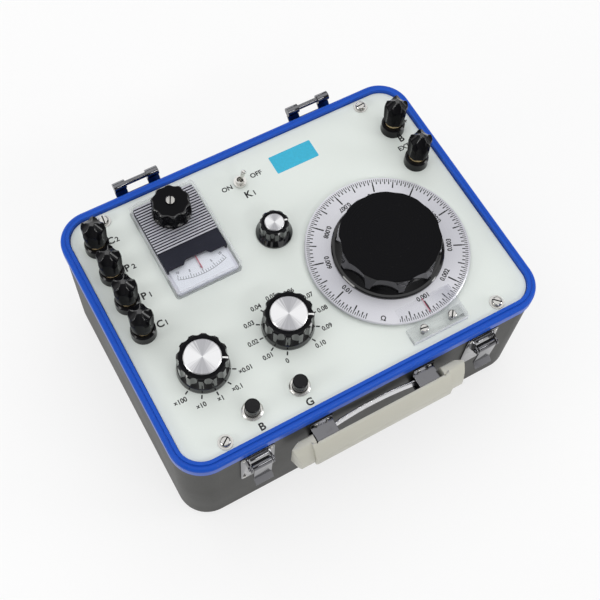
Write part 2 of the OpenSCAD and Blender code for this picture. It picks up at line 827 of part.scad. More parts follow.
module rotary_switch() {
    color([0.5, 0.42, 0.3]) bush(2) {
        cylinder(d = wafer_d, h = 2);
        for (z = [-switch_l / 2, -switch_l]) translate([0, 0, z]) ring(wafer_d, shaft_d + 4, 2);
        for (s = [-1, 1]) translate([s * wafer_d * 0.4, 0, -switch_l - 2]) cylinder(d = 4, h = switch_l + 3);
        for (z = [-switch_l / 2, -switch_l], a = [0:30:330])
            translate([0, 0, z]) rotate([0, 0, a + 15]) translate([wafer_d / 2 - 2, -0.9, 0.6]) cube([5, 1.8, 0.8]);
    }
}

module step_switch() {
    on_panel(step_x, step_y) rotary_switch();
}

module range_switch() {
    on_panel(range_x, range_y) rotary_switch();
}

module sensitivity_pot() {
    color([0.45, 0.45, 0.47]) on_panel(sens_cx, sens_cy) bush(1.5) {
        translate([0, 0, -11]) cylinder(d = pot_d, h = 12.5);
        for (s = [-1, 0, 1]) translate([s * 5 - 1, -pot_d / 2 - 6, -5]) cube([2, 10, 1]);
    }
}

module step_knob() {
    on_panel(step_x, step_y) skirted_knob(skirt_d, body_d, cap_d, sk_h, flutes);
}

module step_cap() {
    on_panel(step_x, step_y) knob_cap(cap_d, sk_h);
}

module step_shaft() {
    on_panel(step_x, step_y) control_shaft(sk_h, panel_t + switch_l + 6);
}

module range_knob() {
    on_panel(range_x, range_y) skirted_knob(skirt_d, body_d, cap_d, sk_h, flutes);
}

module range_cap() {
    on_panel(range_x, range_y) knob_cap(cap_d, sk_h);
}

module range_shaft() {
    on_panel(range_x, range_y) control_shaft(sk_h, panel_t + switch_l + 6);
}

module sensitivity_knob() {
    on_panel(sens_cx, sens_cy) skirted_knob(sens_skirt_d, sens_body_d, sens_cap_d, sens_h, 10);
}

module sensitivity_cap() {
    on_panel(sens_cx, sens_cy) knob_cap(sens_cap_d, sens_h);
}

module sensitivity_shaft() {
    on_panel(sens_cx, sens_cy) control_shaft(sens_h, panel_t + 9);
}

// Push buttons
function button_neck() = plunger_d + 2 * run + 1.6;

module button_housings() {
    n = button_neck() / 2;
    color(steel) for (p = button_xy) on_panel(p[0], p[1]) {
        rotate_extrude() polygon([
            [0, -22], [n, -22], [n, 0], [bezel_d / 2, 0], [bezel_d / 2, 1.4],
            [bezel_d / 2 - 1, 2.4], [plunger_d / 2 + run + 0.3, 2.4], [plunger_d / 2 + run, 2.1],
            [plunger_d / 2 + run, -plunger_go - 12], [0, -plunger_go - 12]
        ]);
        translate([0, 0, -panel_t - 3]) difference() {
            hex(17, 3);
            translate([0, 0, -1]) cylinder(r = n + run, h = 6);
        }
    }
}

module plunger() {
    color(black) rotate_extrude() polygon(concat(
        [[0, -11.4], [plunger_d / 2, -11.4]],
        arc([plunger_d / 2 - 1.2, plunger_h - 1.6], 1.2, 0, 80, 5),
        [[0, plunger_h]]
    ));
}

module button_b() {
    on_panel(button_x, button_cy) plunger();
}

module button_g() {
    on_panel(button_x + button_pitch, button_cy) plunger();
}

// Binding posts
module post_bases() {
    color(black) for (p = post_xy) on_panel(p[0], p[1]) rotate_extrude() polygon([
        [stud_d / 2 + run, 0], [base_d / 2, 0], [base_d / 2 - 0.3, base_h - 1.2],
        [base_d / 2 - 1.5, base_h], [stud_d / 2 + run, base_h]
    ]);
}

module post_studs() {
    color(brass) for (p = post_xy) on_panel(p[0], p[1]) {
        translate([0, 0, -panel_t - 14]) cylinder(d = stud_d, h = panel_t + 14 + cap_z + post_cap_h - 8);
        translate([0, 0, -panel_t - 5]) difference() {
            hex(10, 5);
            translate([0, 0, -1]) cylinder(d = stud_d + 2 * run, h = 8);
        }
    }
}

module post_collar(i) {
    r = collar_d / 2;
    color(brass) on_panel(post_xy[i][0], post_xy[i][1], collar_z) rotate_extrude() polygon([
        [stud_d / 2 + run, 0], [r, 0], [r, collar_h - 0.6], [r - 0.6, collar_h], [stud_d / 2 + run, collar_h]
    ]);
}

module post_cap(i) {
    r = post_cap_d / 2;
    h = post_cap_h;
    lobes = 5;
    color(black) on_panel(post_xy[i][0], post_xy[i][1], cap_z) difference() {
        rotate_extrude() polygon([
            [stud_d / 2 + run, 0], [r - 2, 0], [r - 1, 1], [r - 0.5, h * 0.25], [r, h * 0.6],
            [r - 0.7, h * 0.8], [r - 1.8, h * 0.92], [r - 4, h], [0, h], [0, h - 7],
            [stud_d / 2 + run, h - 7]
        ]);
        for (k = [0:lobes - 1]) rotate([0, 0, 360 / lobes * (k + 0.36)]) {
            translate([r + 7.4, 0, -1]) cylinder(r = 9, h = h + 2);
            translate([1.6, 0, h]) rotate([0, -42, 0]) translate([5.6, 0, -30]) cylinder(r = 5.6, h = 40);
        }
    }
}

module post_collar_c1() {
    post_collar(0);
}

module post_collar_p1() {
    post_collar(1);
}

module post_collar_p2() {
    post_collar(2);
}

module post_collar_c2() {
    post_collar(3);
}

module post_collar_plus() {
    post_collar(4);
}

module post_collar_minus() {
    post_collar(5);
}

module post_cap_c1() {
    post_cap(0);
}

module post_cap_p1() {
    post_cap(1);
}

module post_cap_p2() {
    post_cap(2);
}

module post_cap_c2() {
    post_cap(3);
}

module post_cap_plus() {
    post_cap(4);
}

module post_cap_minus() {
    post_cap(5);
}

// Null amplifier
module amplifier_board() {
    w = 80;
    d = 34;
    color([0.12, 0.35, 0.2]) on_panel(dial_x - 3, case_d / 2 - 36.5, -panel_t) {
        translate([-w / 2, -d / 2, -13.6]) cube([w, d, 1.6]);
        for (sx = [-1, 1], sy = [-1, 1])
            translate([sx * (w / 2 - 4), sy * (d / 2 - 4), -12.4]) cylinder(d = 6, h = 12.4);
        for (i = [-2:2]) translate([i * 11 - 3, -8, -18.6]) cube([6, 15, 5.4]);
    }
}

// Hinges on the back wall
module hinge_leaves() {
    k = knuckle_d / 2;
    low = -rim_drop - 1.5;
    color(steel) for (s = [-1, 1]) on_back(s * hinge_x, 0) {
        difference() {
            run_x(hinge_l) polygon([
                [0, low - 24], [1.5, low - 24], [1.5, low - 1.4], [hinge_out, hinge_z - k - 1.4],
                [hinge_out, hinge_z - k + 0.1], [hinge_out - 1, hinge_z - k], [1, low], [0, low - 0.6]
            ]);
            translate([knuckle_l - hinge_l / 2, hinge_out - 4, hinge_z - 12])
                cube([hinge_l - 2 * knuckle_l, 10, 20]);
        }
        for (t = [-1, 1]) translate([t * (hinge_l - knuckle_l) / 2, hinge_out, hinge_z]) difference() {
            union() {
                rotate([0, 90, 0]) translate([0, 0, -knuckle_l / 2]) cylinder(d = knuckle_d, h = knuckle_l);
                translate([-knuckle_l / 2, -2, -k - 0.7]) cube([knuckle_l, 2, k]);
            }
            rotate([0, 90, 0]) cylinder(d = pin_d + 2 * run, h = knuckle_l + 2, center = true);
        }
    }
}

module steel_pins() {
    color([0.8, 0.81, 0.83]) {
        for (s = [-1, 1]) on_back(s * hinge_x, hinge_z) translate([0, hinge_out, 0])
            rotate([0, 90, 0]) cylinder(d = pin_d, h = hinge_l, center = true);
        for (s = [-1, 1]) on_front(s * latch_x, latch_z) translate([0, latch_out, 0])
            rotate([0, 90, 0]) cylinder(d = latch_pin_d, h = lever_w + 5.6, center = true);
    }
}

// Latches on the front wall
module latch_plates() {
    color(steel) for (s = [-1, 1]) on_front(s * latch_x, latch_z) {
        difference() {
            union() {
                translate([0, 0, 10]) rotate([-90, 0, 0]) linear_extrude(1.2) translate([0, latch_l / 2])
                    polygon(rounded(latch_w, latch_l, 3, 4));
                for (t = [-1, 1]) translate([t * (lever_w / 2 + 1.2) - 0.7, 0, 0]) {
                    rotate([90, 0, 90]) linear_extrude(1.4) polygon(concat(
                        [[0, -8], [latch_out, -3.2]],
                        arc([latch_out, 0], 3.2, -60, 90, 8),
                        [[0, 6]]
                    ));
                }
                run_x(lever_w - 1) polygon([[0, 4.4], [3.4, 4.4], [4.6, 9], [3.4, 9.6], [2.4, 5.8], [0, 5.8]]);
            }
            translate([0, latch_out, 0]) rotate([0, 90, 0])
                cylinder(d = latch_pin_d + 2 * run, h = latch_w, center = true);
        }
    }
}

module latch_lever(s) {
    r = roll_d / 2;
    l = latch_lever_l;
    color([0.86, 0.87, 0.88]) on_front(s * latch_x, latch_z) difference() {
        union() {
            translate([0, latch_out, 0]) rotate([0, 90, 0]) cylinder(d = roll_d, h = lever_w - 0.6, center = true);
            run_x(lever_w - 0.6) polygon([
                [latch_out + r - 1.4, 0], [latch_out + r, 0], [latch_out + r - 0.8, 4 - l],
                [latch_out + r + 3.2, -l], [latch_out + r + 2.2, -l - 0.8], [latch_out + r - 2.2, 3.4 - l]
            ]);
        }
        translate([0, latch_out, 0]) rotate([0, 90, 0])
            cylinder(d = latch_pin_d + 2 * run, h = latch_w, center = true);
    }
}

module latch_lever_left() {
    latch_lever(-1);
}

module latch_lever_right() {
    latch_lever(1);
}

// Carrying handle
module handle_brackets() {
    a = strap_h / 2 + 0.8;
    b = a + bracket_t;
    o = bracket_out;
    color(steel) for (s = [-1, 1]) on_front(s * bracket_x, handle_z) run_x(bracket_w) polygon([
        [0, a], [o - bracket_t, a], [o - bracket_t, -a], [0, -a], [0, -b - 7], [bracket_t, -b - 7],
        [bracket_t, -b], [o - 0.6, -b], [o, 0.6 - b], [o, b - 0.6], [o - 0.6, b], [bracket_t, b],
        [bracket_t, b + 7], [0, b + 7]
    ]);
}

module strap(t, h, half) {
    a = asin(half / strap_r);
    translate([0, strap_in + strap_r, -h / 2]) rotate([0, 0, -90 - a])
        rotate_extrude(angle = 2 * a, $fn = 360) translate([strap_r - t / 2, 0]) square([t, h]);
}

module handle_strap() {
    color([0.8, 0.81, 0.83]) on_front(0, handle_z) strap(strap_t, strap_h, grip_l / 2 - 9);
}

// Section of the grip, whose face leans outward to its foot
module grip_section(o) {
    h = grip_h / 2;
    foot = 4 - h;
    polygon(concat(
        [[6.8, h], [o - grip_lean - 1, h]],
        [for (i = [0:6]) let (z = (h - 0.6) * (1 - i / 6) + foot * i / 6)
            [o - grip_lean * pow((z - foot) / (h - foot), 2), z]],
        arc([o - 4, foot], 4, -15, -90, 5),
        [[6.8, -h], [6, 0.8 - h], [6, h - 0.8]]
    ));
}

module handle_grip() {
    l = grip_l / 2;
    o = grip_out;
    in = o - grip_t;
    n = bracket_x + bracket_w / 2 + 1.6;
    color([0.9, 0.87, 0.76]) on_front(0, handle_z) difference() {
        union() {
            intersection() {
                translate([0, 0, -grip_h]) linear_extrude(2 * grip_h) polygon([
                    [-n - 4, in - 2], [-n, in + 1], [-n + 1, in], [n - 1, in], [n, in + 1],
                    [n + 4, in - 2], [n + 4, o - 1], [n + 2.6, o], [-n - 2.6, o], [-n - 4, o - 1]
                ]);
                run_x(grip_l) grip_section(o);
            }
            for (s = [0, 1]) mirror([s, 0, 0]) intersection() {
                translate([0, 0, -grip_h]) linear_extrude(2 * grip_h) polygon([
                    [n, 6], [l - 7, 6], [l, 9.7], [l - 2, o - 6], [l - 5, o], [n, o]
                ]);
                run_x(grip_l + 2) grip_section(o - grip_step);
            }
        }
        strap(strap_t + 2 * run, strap_h + 2 * run, l - 8.5);
    }
}

case_shell();
rim_frame();
front_panel();
panel_screws();
panel_pillars();
rubber_feet();
battery_hatch();
battery_box();
batteries();
galvanometer_base();
galvanometer_cover();
galvanometer_mask();
galvanometer_scale();
toggle_switch();
slide_wire_former();
cursor_plate();
step_switch();
range_switch();
sensitivity_pot();
button_housings();
post_bases();
post_studs();
hinge_leaves();
steel_pins();
latch_plates();
handle_brackets();
amplifier_board();
galvanometer_needle();
zero_knob();
toggle_lever();
dial_disc();
dial_knob();
dial_shaft();
step_knob();
step_cap();
step_shaft();
range_knob();
range_cap();
range_shaft();
sensitivity_knob();
sensitivity_cap();
sensitivity_shaft();
button_b();
button_g();
post_cap_c1();
post_cap_p1();
post_cap_p2();
post_cap_c2();
post_cap_plus();
post_cap_minus();
post_collar_c1();
post_collar_p1();
post_collar_p2();
post_collar_c2();
post_collar_plus();
post_collar_minus();
latch_lever_left();
latch_lever_right();
handle_grip();
handle_strap();
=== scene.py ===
import json
import math

import bpy
from bpy.props import FloatProperty, FloatVectorProperty, IntProperty, PointerProperty
from mathutils import Matrix, Vector

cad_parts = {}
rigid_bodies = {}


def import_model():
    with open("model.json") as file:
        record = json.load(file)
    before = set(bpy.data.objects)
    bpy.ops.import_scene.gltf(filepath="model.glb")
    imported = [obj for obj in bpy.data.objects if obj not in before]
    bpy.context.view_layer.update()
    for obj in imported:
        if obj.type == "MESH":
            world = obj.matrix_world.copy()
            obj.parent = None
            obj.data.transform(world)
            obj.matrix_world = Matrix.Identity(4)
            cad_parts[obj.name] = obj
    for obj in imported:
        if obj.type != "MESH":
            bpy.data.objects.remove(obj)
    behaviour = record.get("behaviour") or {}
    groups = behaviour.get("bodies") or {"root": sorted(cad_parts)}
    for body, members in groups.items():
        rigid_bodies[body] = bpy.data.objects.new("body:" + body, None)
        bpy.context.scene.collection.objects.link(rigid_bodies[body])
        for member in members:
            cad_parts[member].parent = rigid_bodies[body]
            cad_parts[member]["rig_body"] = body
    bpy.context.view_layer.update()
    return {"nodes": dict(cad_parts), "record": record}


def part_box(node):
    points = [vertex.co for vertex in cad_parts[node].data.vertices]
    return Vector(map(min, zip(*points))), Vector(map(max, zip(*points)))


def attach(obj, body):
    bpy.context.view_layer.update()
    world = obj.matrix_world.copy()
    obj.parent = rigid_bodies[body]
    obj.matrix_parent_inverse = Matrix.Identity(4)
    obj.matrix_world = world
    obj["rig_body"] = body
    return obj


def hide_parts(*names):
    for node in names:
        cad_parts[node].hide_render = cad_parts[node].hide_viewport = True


bl_info = {
    "name": "Double bridge",
    "version": (1, 0, 0),
    "blender": (4, 5, 0),
    "location": "View3D > Sidebar > Bridge",
    "description": "Dresses the double bridge with its finishes, scales, lettering and fasteners",
    "category": "Object",
}

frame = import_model()
NODES = frame["nodes"]
SLOTS = {part["node"]: part["material_slot"] for part in frame["record"]["subparts"]}
MM = 0.001
INK = 0.04 * MM
MERGE = 0.001 * MM
INK_MERGE = 0.0001 * MM


def middle(node):
    """Centre of a node's box."""
    low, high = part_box(node)
    return (low + high) / 2


def top_of(node):
    """Height of a node's highest point."""
    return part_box(node)[1].z


def axis_of(node, height):
    """Point on a node's upright axis."""
    centre = middle(node)
    return Vector((centre.x, centre.y, height))


PANEL = Vector((0, middle("front_panel").y, top_of("front_panel")))
DIAL = axis_of("dial_disc", top_of("dial_disc"))
STEP = axis_of("step_cap", PANEL.z)
RANGE = axis_of("range_cap", PANEL.z)
SENSITIVITY = axis_of("sensitivity_cap", PANEL.z)
PIVOT = axis_of("zero_knob", top_of("galvanometer_scale"))


def on_panel(x, y, z=0.0):
    """A place in millimetres from the middle of the panel's face."""
    return PANEL + Vector((x, y, z)) * MM


# Sizes and colours


class BridgeSizes(bpy.types.PropertyGroup):
    """Sizes of the marks and fasteners."""

    letter: FloatProperty(
        name="Letter height", description="Height of the terminal letters",
        default=5.9 * MM, unit="LENGTH")
    word: FloatProperty(
        name="Word height", description="Height of the switch words",
        default=4.2 * MM, unit="LENGTH")
    figure: FloatProperty(
        name="Figure height", description="Height of the figures round the knobs",
        default=3.9 * MM, unit="LENGTH")
    dial_figure: FloatProperty(
        name="Dial figure height", description="Height of the figures on the dial",
        default=3.9 * MM, unit="LENGTH")
    tick: FloatProperty(
        name="Tick width", description="Width of the lines round the knobs",
        default=1.05 * MM, unit="LENGTH")
    graduation: FloatProperty(
        name="Graduation width", description="Width of the lines on the dial",
        default=0.56 * MM, unit="LENGTH")
    divisions: IntProperty(
        name="Divisions", description="Divisions between two figures of the dial", default=20)
    rivet: FloatProperty(
        name="Rivet diameter", description="Diameter of the rivet heads",
        default=4.2 * MM, unit="LENGTH")
    edge: FloatProperty(
        name="Edge radius", description="Rounding of the pressed metal and of the grip",
        default=0.3 * MM, unit="LENGTH")


class BridgeColours(bpy.types.PropertyGroup):
    """Colours of the finishes."""

    case: FloatVectorProperty(
        name="Case", description="Paint of the case", subtype="COLOR",
        default=(0.030, 0.0298, 0.026))
    rim: FloatVectorProperty(
        name="Rim", description="Lacquer of the rim", subtype="COLOR",
        default=(0.009, 0.082, 0.50))
    panel: FloatVectorProperty(
        name="Panel", description="Paint of the panel", subtype="COLOR",
        default=(0.74, 0.785, 0.75))
    grip: FloatVectorProperty(
        name="Grip", description="Plastic of the handle's grip", subtype="COLOR",
        default=(0.53, 0.52, 0.45))
    label: FloatVectorProperty(
        name="Label", description="Print of the plain label", subtype="COLOR",
        default=(0.02, 0.43, 0.64))
    ink: FloatVectorProperty(
        name="Ink", description="Ink of the scales and letters", subtype="COLOR",
        default=(0.004, 0.004, 0.005))
    hairline: FloatVectorProperty(
        name="Hairline", description="Line of the cursor", subtype="COLOR",
        default=(0.45, 0.03, 0.10))


# Node trees


class Wire:
    """An output socket; arithmetic on it adds Math nodes."""

    def __init__(self, nodes, socket):
        self.nodes = nodes
        self.socket = socket

    def math(self, operation, *values):
        return self.nodes.node("ShaderNodeMath", {"operation": operation}, dict(enumerate(values)))

    def __add__(self, other):
        return self.math("ADD", self, other)

    def __radd__(self, other):
        return self.math("ADD", other, self)

    def __sub__(self, other):
        return self.math("SUBTRACT", self, other)

    def __rsub__(self, other):
        return self.math("SUBTRACT", other, self)

    def __mul__(self, other):
        return self.math("MULTIPLY", self, other)

    def __rmul__(self, other):
        return self.math("MULTIPLY", other, self)

    def __pow__(self, other):
        return self.math("POWER", self, other)

    def __abs__(self):
        return self.math("ABSOLUTE", self)

    def cosine(self):
        return self.math("COSINE", self)


class Nodes:
    """The node tree of a material or of the world, under construction."""

    def __init__(self, owner):
        owner.use_nodes = True
        self.tree = owner.node_tree
        self.tree.nodes.clear()

    def node(self, kind, settings=None, sockets=None, out=0):
        """Add a node: its settings first, then the values or links of its sockets."""
        made = self.tree.nodes.new(kind)
        for key, value in (settings or {}).items():
            setattr(made, key, value)
        for key, value in (sockets or {}).items():
            if isinstance(value, Wire):
                self.tree.links.new(value.socket, made.inputs[key])
            else:
                made.inputs[key].default_value = value
        return Wire(self, made.outputs[out]) if made.outputs else None

    def along(self, axis, vector):
        """One coordinate of a vector."""
        return self.node("ShaderNodeSeparateXYZ", {}, {"Vector": vector}, out=axis)

    def step_up(self, value, low, high):
        """Goes smoothly from 0 to 1 as the value goes from low to high."""
        return self.node(
            "ShaderNodeMapRange", {"interpolation_type": "SMOOTHSTEP"},
            {"Value": value, "From Min": low, "From Max": high})

    def ray(self, kind):
        """1 for rays of one kind, else 0."""
        return self.node("ShaderNodeLightPath", out="Is %s Ray" % kind)


class Finish(Nodes):
    """A procedural material under construction."""

    def __init__(self, name):
        self.material = bpy.data.materials.new(name + "_finish")
        super().__init__(self.material)
        self.place = self.node("ShaderNodeTexCoord", out="Object")

    def noise(self, size, detail=3.0, rough=0.55):
        """Noise whose blotches are about this many metres across."""
        return self.node(
            "ShaderNodeTexNoise", {},
            {"Vector": self.place, "Scale": 1 / size, "Detail": detail, "Roughness": rough})

    def bands(self, value, width, detail):
        """Noise that changes with one value only, in bands of about this width."""
        return self.node(
            "ShaderNodeTexNoise", {"noise_dimensions": "1D"},
            {"W": value, "Scale": 1 / width, "Detail": detail})

    def round_about(self, centre):
        """Distance from an upright axis, and the angle round it."""
        place = self.node(
            "ShaderNodeMapping", {},
            {"Vector": self.place, "Location": (-centre.x, -centre.y, 0.0)})
        x, y = self.along("X", place), self.along("Y", place)
        return (x * x + y * y) ** 0.5, y.math("ARCTAN2", y, x)

    def height(self):
        """Height over the ground in metres."""
        return self.along("Z", self.place)

    def blend(self, factor, first, second):
        """Mix of two colours."""
        return self.node(
            "ShaderNodeMix", {"data_type": "RGBA"},
            {0: factor, 6: tint(first), 7: tint(second)}, out=2)

    def bump(self, height, depth, strength):
        """Relief of this depth in metres."""
        return self.node(
            "ShaderNodeBump", {}, {"Height": height, "Distance": depth, "Strength": strength})

    def surface(self, **sockets):
        """Close the material with one shader, whose sockets are named with underscores."""
        named = {key.replace("_", " "): value for key, value in sockets.items()}
        shader = self.node("ShaderNodeBsdfPrincipled", {}, named)
        self.node("ShaderNodeOutputMaterial", {}, {"Surface": shader})
        return self.material


def tint(colour):
    """A colour with its alpha, or a link as it is."""
    return colour if isinstance(colour, Wire) else (*tuple(colour)[:3], 1.0)


def scaled(colour, factor):
    """A colour made darker or lighter."""
    return tuple(min(1.0, part * factor) for part in tuple(colour)[:3])


# Finishes

BLACK = (0.0045, 0.0045, 0.0055)
SMUDGE = (0.2, 0.2, 0.21)
DUST = (0.3, 0.3, 0.3)
# Painted shade on the floors of screw slots
SLOT_SHADE = (0.02, 0.02, 0.02)
NICKEL = (0.70, 0.69, 0.66)
# Chrome darkened as a painted reflection of the shaded floor in front of the case, for latches,
# brackets and hinges
CHROME_DARK_REFLECTION = (0.17, 0.17, 0.18)
STRAP_CHROME = (0.66, 0.66, 0.68)
INNER_METAL = (0.52, 0.52, 0.50)
SHAFT_STEEL = (0.60, 0.60, 0.61)
SCREW_STEEL = (0.62, 0.61, 0.59)
FASTENER_STEEL = (0.50, 0.49, 0.47)
BRASS = (0.80, 0.58, 0.27)
# A paler copy of the brass: painted light that lifts the post collars out of the caps' shade
LIT_COLLAR_BRASS = (0.98, 0.78, 0.46)
# Caps: the bright fans are painted highlight and the dark wedges painted shade, turned so the
# bright fans lie along the camera's left-right
CAP_PAINTED_HIGHLIGHT, CAP_PAINTED_SHADE = (0.80, 0.80, 0.81), (0.42, 0.42, 0.44)
CAP_HIGHLIGHT_TURN = 0.51
# Dial colours: mixed by painted reflection fans and by the metal's real rings and sparkle
DIAL_BRIGHT, DIAL_DARK = (0.72, 0.72, 0.765), (0.52, 0.52, 0.565)
# ACRYLIC_HIGHLIGHT is the near-white of the painted highlight on edges
ACRYLIC, ACRYLIC_HIGHLIGHT = (0.36, 0.37, 0.46), (0.97, 0.97, 1.0)
# The ribs' light grey is a painted highlight along their tops
MASK, MASK_RIB_HIGHLIGHT = (0.010, 0.011, 0.020), (0.62, 0.62, 0.68)
BOARD, BOARD_TRACKS = (0.012, 0.11, 0.045), (0.05, 0.24, 0.10)
RUBBER = (0.016, 0.016, 0.017)
BATTERY_BOX, BATTERY_SLEEVE = (0.02, 0.02, 0.022), (0.03, 0.06, 0.16)
BAKELITE, SWITCH_WAFER = (0.085, 0.032, 0.014), (0.24, 0.15, 0.065)
METER_CARD, METER_BASE = (0.80, 0.83, 0.90), (0.70, 0.71, 0.78)
METER_INK, NEEDLE = (0.17, 0.18, 0.21), (0.50, 0.15, 0.20)
POINTER_WHITE = (0.85, 0.85, 0.84)


def paint(name, colour, rough, grain, relief, coat=0.0, spread=0.08, fleck=0.25, gloss=0.5):
    """Sprayed paint: faint clouds, a fine grain and uneven gloss."""
    f = Finish(name)
    clouds = f.noise(45 * MM)
    fine = f.noise(grain, 2.0)
    base = f.blend(clouds, scaled(colour, 1 - spread), scaled(colour, 1 + spread))
    speck = f.step_up(fine, 0.60, 0.80) * fleck
    return f.surface(
        Base_Color=f.blend(speck, base, scaled(colour, 1.25)),
        Roughness=rough + (clouds - 0.5) * 0.16 + (fine - 0.5) * fleck * 0.4,
        Normal=f.bump(fine, relief, 0.6), Coat_Weight=coat, Coat_Roughness=0.12,
        Specular_IOR_Level=gloss)


def plated(name, colour, rough, relief=0.012 * MM):
    """Plated or bare metal with a fine grain and handling marks."""
    f = Finish(name)
    grain = f.noise(0.9 * MM, 4.0, 0.6)
    smear = f.noise(14 * MM, 4.0, 0.6)
    marks = f.step_up(smear, 0.52, 0.74)
    return f.surface(
        Base_Color=f.blend(marks, colour, scaled(colour, 0.82)), Metallic=1.0,
        Roughness=rough + marks * 0.14 + (grain - 0.5) * 0.12,
        Normal=f.bump(grain, relief, 0.5))


def moulded(name, colour, rough, grain=0.6 * MM, relief=0.01 * MM, dust=0.05, gloss=0.5):
    """Moulded plastic: a soft gloss, a faint skin and a little dust on top."""
    f = Finish(name)
    skin = f.noise(grain, 2.0)
    handled = f.noise(9 * MM, 5.0, 0.65)
    worn = f.step_up(handled, 0.50, 0.78)
    return f.surface(
        Base_Color=f.blend(worn * dust, colour, DUST),
        Roughness=rough + worn * 0.14 + (skin - 0.5) * 0.08,
        Normal=f.bump(skin, relief, 0.5), Specular_IOR_Level=gloss)


def spun(name, node):
    """Metal turned on a lathe: fine rings, and a painted highlight in two bright fans across the
    face, with painted shade in the wedges between.
    """
    f = Finish(name)
    radius, angle = f.round_about(middle(node))
    # Painted highlight: two bright fans and two dark wedges of reflection, fixed to the cap
    painted_fans = ((angle + CAP_HIGHLIGHT_TURN) * 2.0).cosine()
    rays = f.bands(angle, 1 / 9, 3.0)
    rings = f.bands(radius, 0.35 * MM, 2.0)
    # light is the share of painted highlight, broken into rays
    light = f.step_up(painted_fans + (rays - 0.5) * 1.6, -1.1, 0.7)
    return f.surface(
        Base_Color=f.blend(light, CAP_PAINTED_SHADE, CAP_PAINTED_HIGHLIGHT), Metallic=1.0,
        Roughness=0.34 + (rings - 0.5) * 0.10 + (1 - light) * 0.06,
        Normal=f.bump(rings, 0.004 * MM, 0.4))


def clear_plastic(name, haze, wall, edges=(), plate=None):
    """Clear acrylic: milky below the wall's height, with a painted highlight along edges at the
    given heights.

    A plate, given by its node, has a painted highlight along its front and grows more opaque and
    darker towards one side instead."""
    f = Finish(name)
    wipe = f.noise(20 * MM, 4.0, 0.6)
    height = f.height()
    low = 1 - f.step_up(height, wall - 0.5 * MM, wall + 0.5 * MM)
    painted_highlight = shade = 0.0
    # Painted highlight along each edge height
    for edge in edges:
        painted_highlight = painted_highlight + (1 - f.step_up(abs(height - edge), 0.15 * MM, 0.45 * MM)) * 0.6
    if plate:
        near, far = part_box(plate)
        depth = f.along("Y", f.place)
        # Painted highlight along the plate's front edge
        painted_highlight = 1 - f.step_up(depth, near.y + 0.2 * MM, near.y + 0.5 * MM)
        shade = f.step_up(f.along("X", f.place) + depth * 0.3, near.x, far.x) * 0.25
    return f.surface(
        Base_Color=f.blend(painted_highlight, ACRYLIC, ACRYLIC_HIGHLIGHT),
        Alpha=haze + low * 0.14 + painted_highlight * 0.42 + shade + (wipe - 0.5) * 0.01,
        Roughness=0.20 + wipe * 0.06)


def dial_metal(name):
    """Silvered dial: fine rings under a satin lacquer, with a painted reflection that is brighter
    at the front and back and darker at the left and right.
    """
    f = Finish(name)
    radius, angle = f.round_about(DIAL)
    rings = f.bands(radius, 0.5 * MM, 3.0)
    sparkle = f.noise(0.5 * MM, 2.0)
    painted_fans = (angle * 2.0).cosine()
    # shade mixes the painted reflection fans with the real rings and sparkle
    shade = (painted_fans + 1) * 0.4 + (rings - 0.5) * 0.5 + (sparkle - 0.5) * 0.7
    return f.surface(
        Base_Color=f.blend(shade, DIAL_BRIGHT, DIAL_DARK), Metallic=0.35,
        Roughness=0.36 + (rings - 0.5) * 0.12 + (sparkle - 0.5) * 0.1,
        Normal=f.bump(rings, 0.004 * MM, 0.4))


def turned_black(name, node, crown):
    """Black knob: its face keeps faint rings of the mould, its grip is glossy."""
    f = Finish(name)
    radius = f.round_about(middle(node))[0]
    face = f.step_up(f.height(), top_of(node) - crown, top_of(node) - crown * 0.6)
    rings = f.bands(radius, 1.2 * MM, 3.0)
    smear = f.noise(11 * MM, 5.0, 0.65)
    dust = f.step_up(f.noise(1.1 * MM, 3.0), 0.66, 0.80) * face * 0.10
    return f.surface(
        Base_Color=f.blend(dust, BLACK, SMUDGE),
        Roughness=0.14 + face * 0.14 + (smear - 0.5) * 0.12 + (rings - 0.5) * face * 0.08,
        Normal=f.bump(rings * face, 0.006 * MM, 0.5), Specular_IOR_Level=0.05,
        Coat_Weight=(1 - face) * 0.75, Coat_Roughness=0.06, Coat_IOR=1.6)


def fluted_black(name, node):
    """Black knob with a skirt: matt above, glossy on the flutes and the skirt."""
    f = Finish(name)
    face = f.step_up(f.height(), top_of(node) - 0.4 * MM, top_of(node) - 0.1 * MM)
    smear = f.noise(6 * MM, 4.0, 0.6)
    return f.surface(
        Base_Color=f.blend(f.step_up(smear, 0.55, 0.8) * 0.03, BLACK, SMUDGE),
        Roughness=0.16 + (smear - 0.5) * 0.12, Specular_IOR_Level=0.05,
        Coat_Weight=1 - face, Coat_Roughness=0.05, Coat_IOR=1.6)


def crowned_black(name, slope, level=None):
    """Black moulding, plain on upright faces and glossy where it leans; plain again if level."""
    f = Finish(name)
    rise = f.along("Z", f.node("ShaderNodeNewGeometry", out="Normal"))
    smear = f.noise(5 * MM, 4.0, 0.6)
    leaning = f.step_up(rise, slope, slope + 0.2)
    if level:
        leaning = leaning * (1 - f.step_up(rise, level - 0.08, level))
    return f.surface(
        Base_Color=f.blend(f.step_up(smear, 0.6, 0.85) * 0.02, BLACK, SMUDGE),
        Roughness=0.14 + (smear - 0.5) * 0.1, Specular_IOR_Level=0.02,
        Coat_Weight=0.03 + leaning * 0.97, Coat_Roughness=0.06, Coat_IOR=1.8)


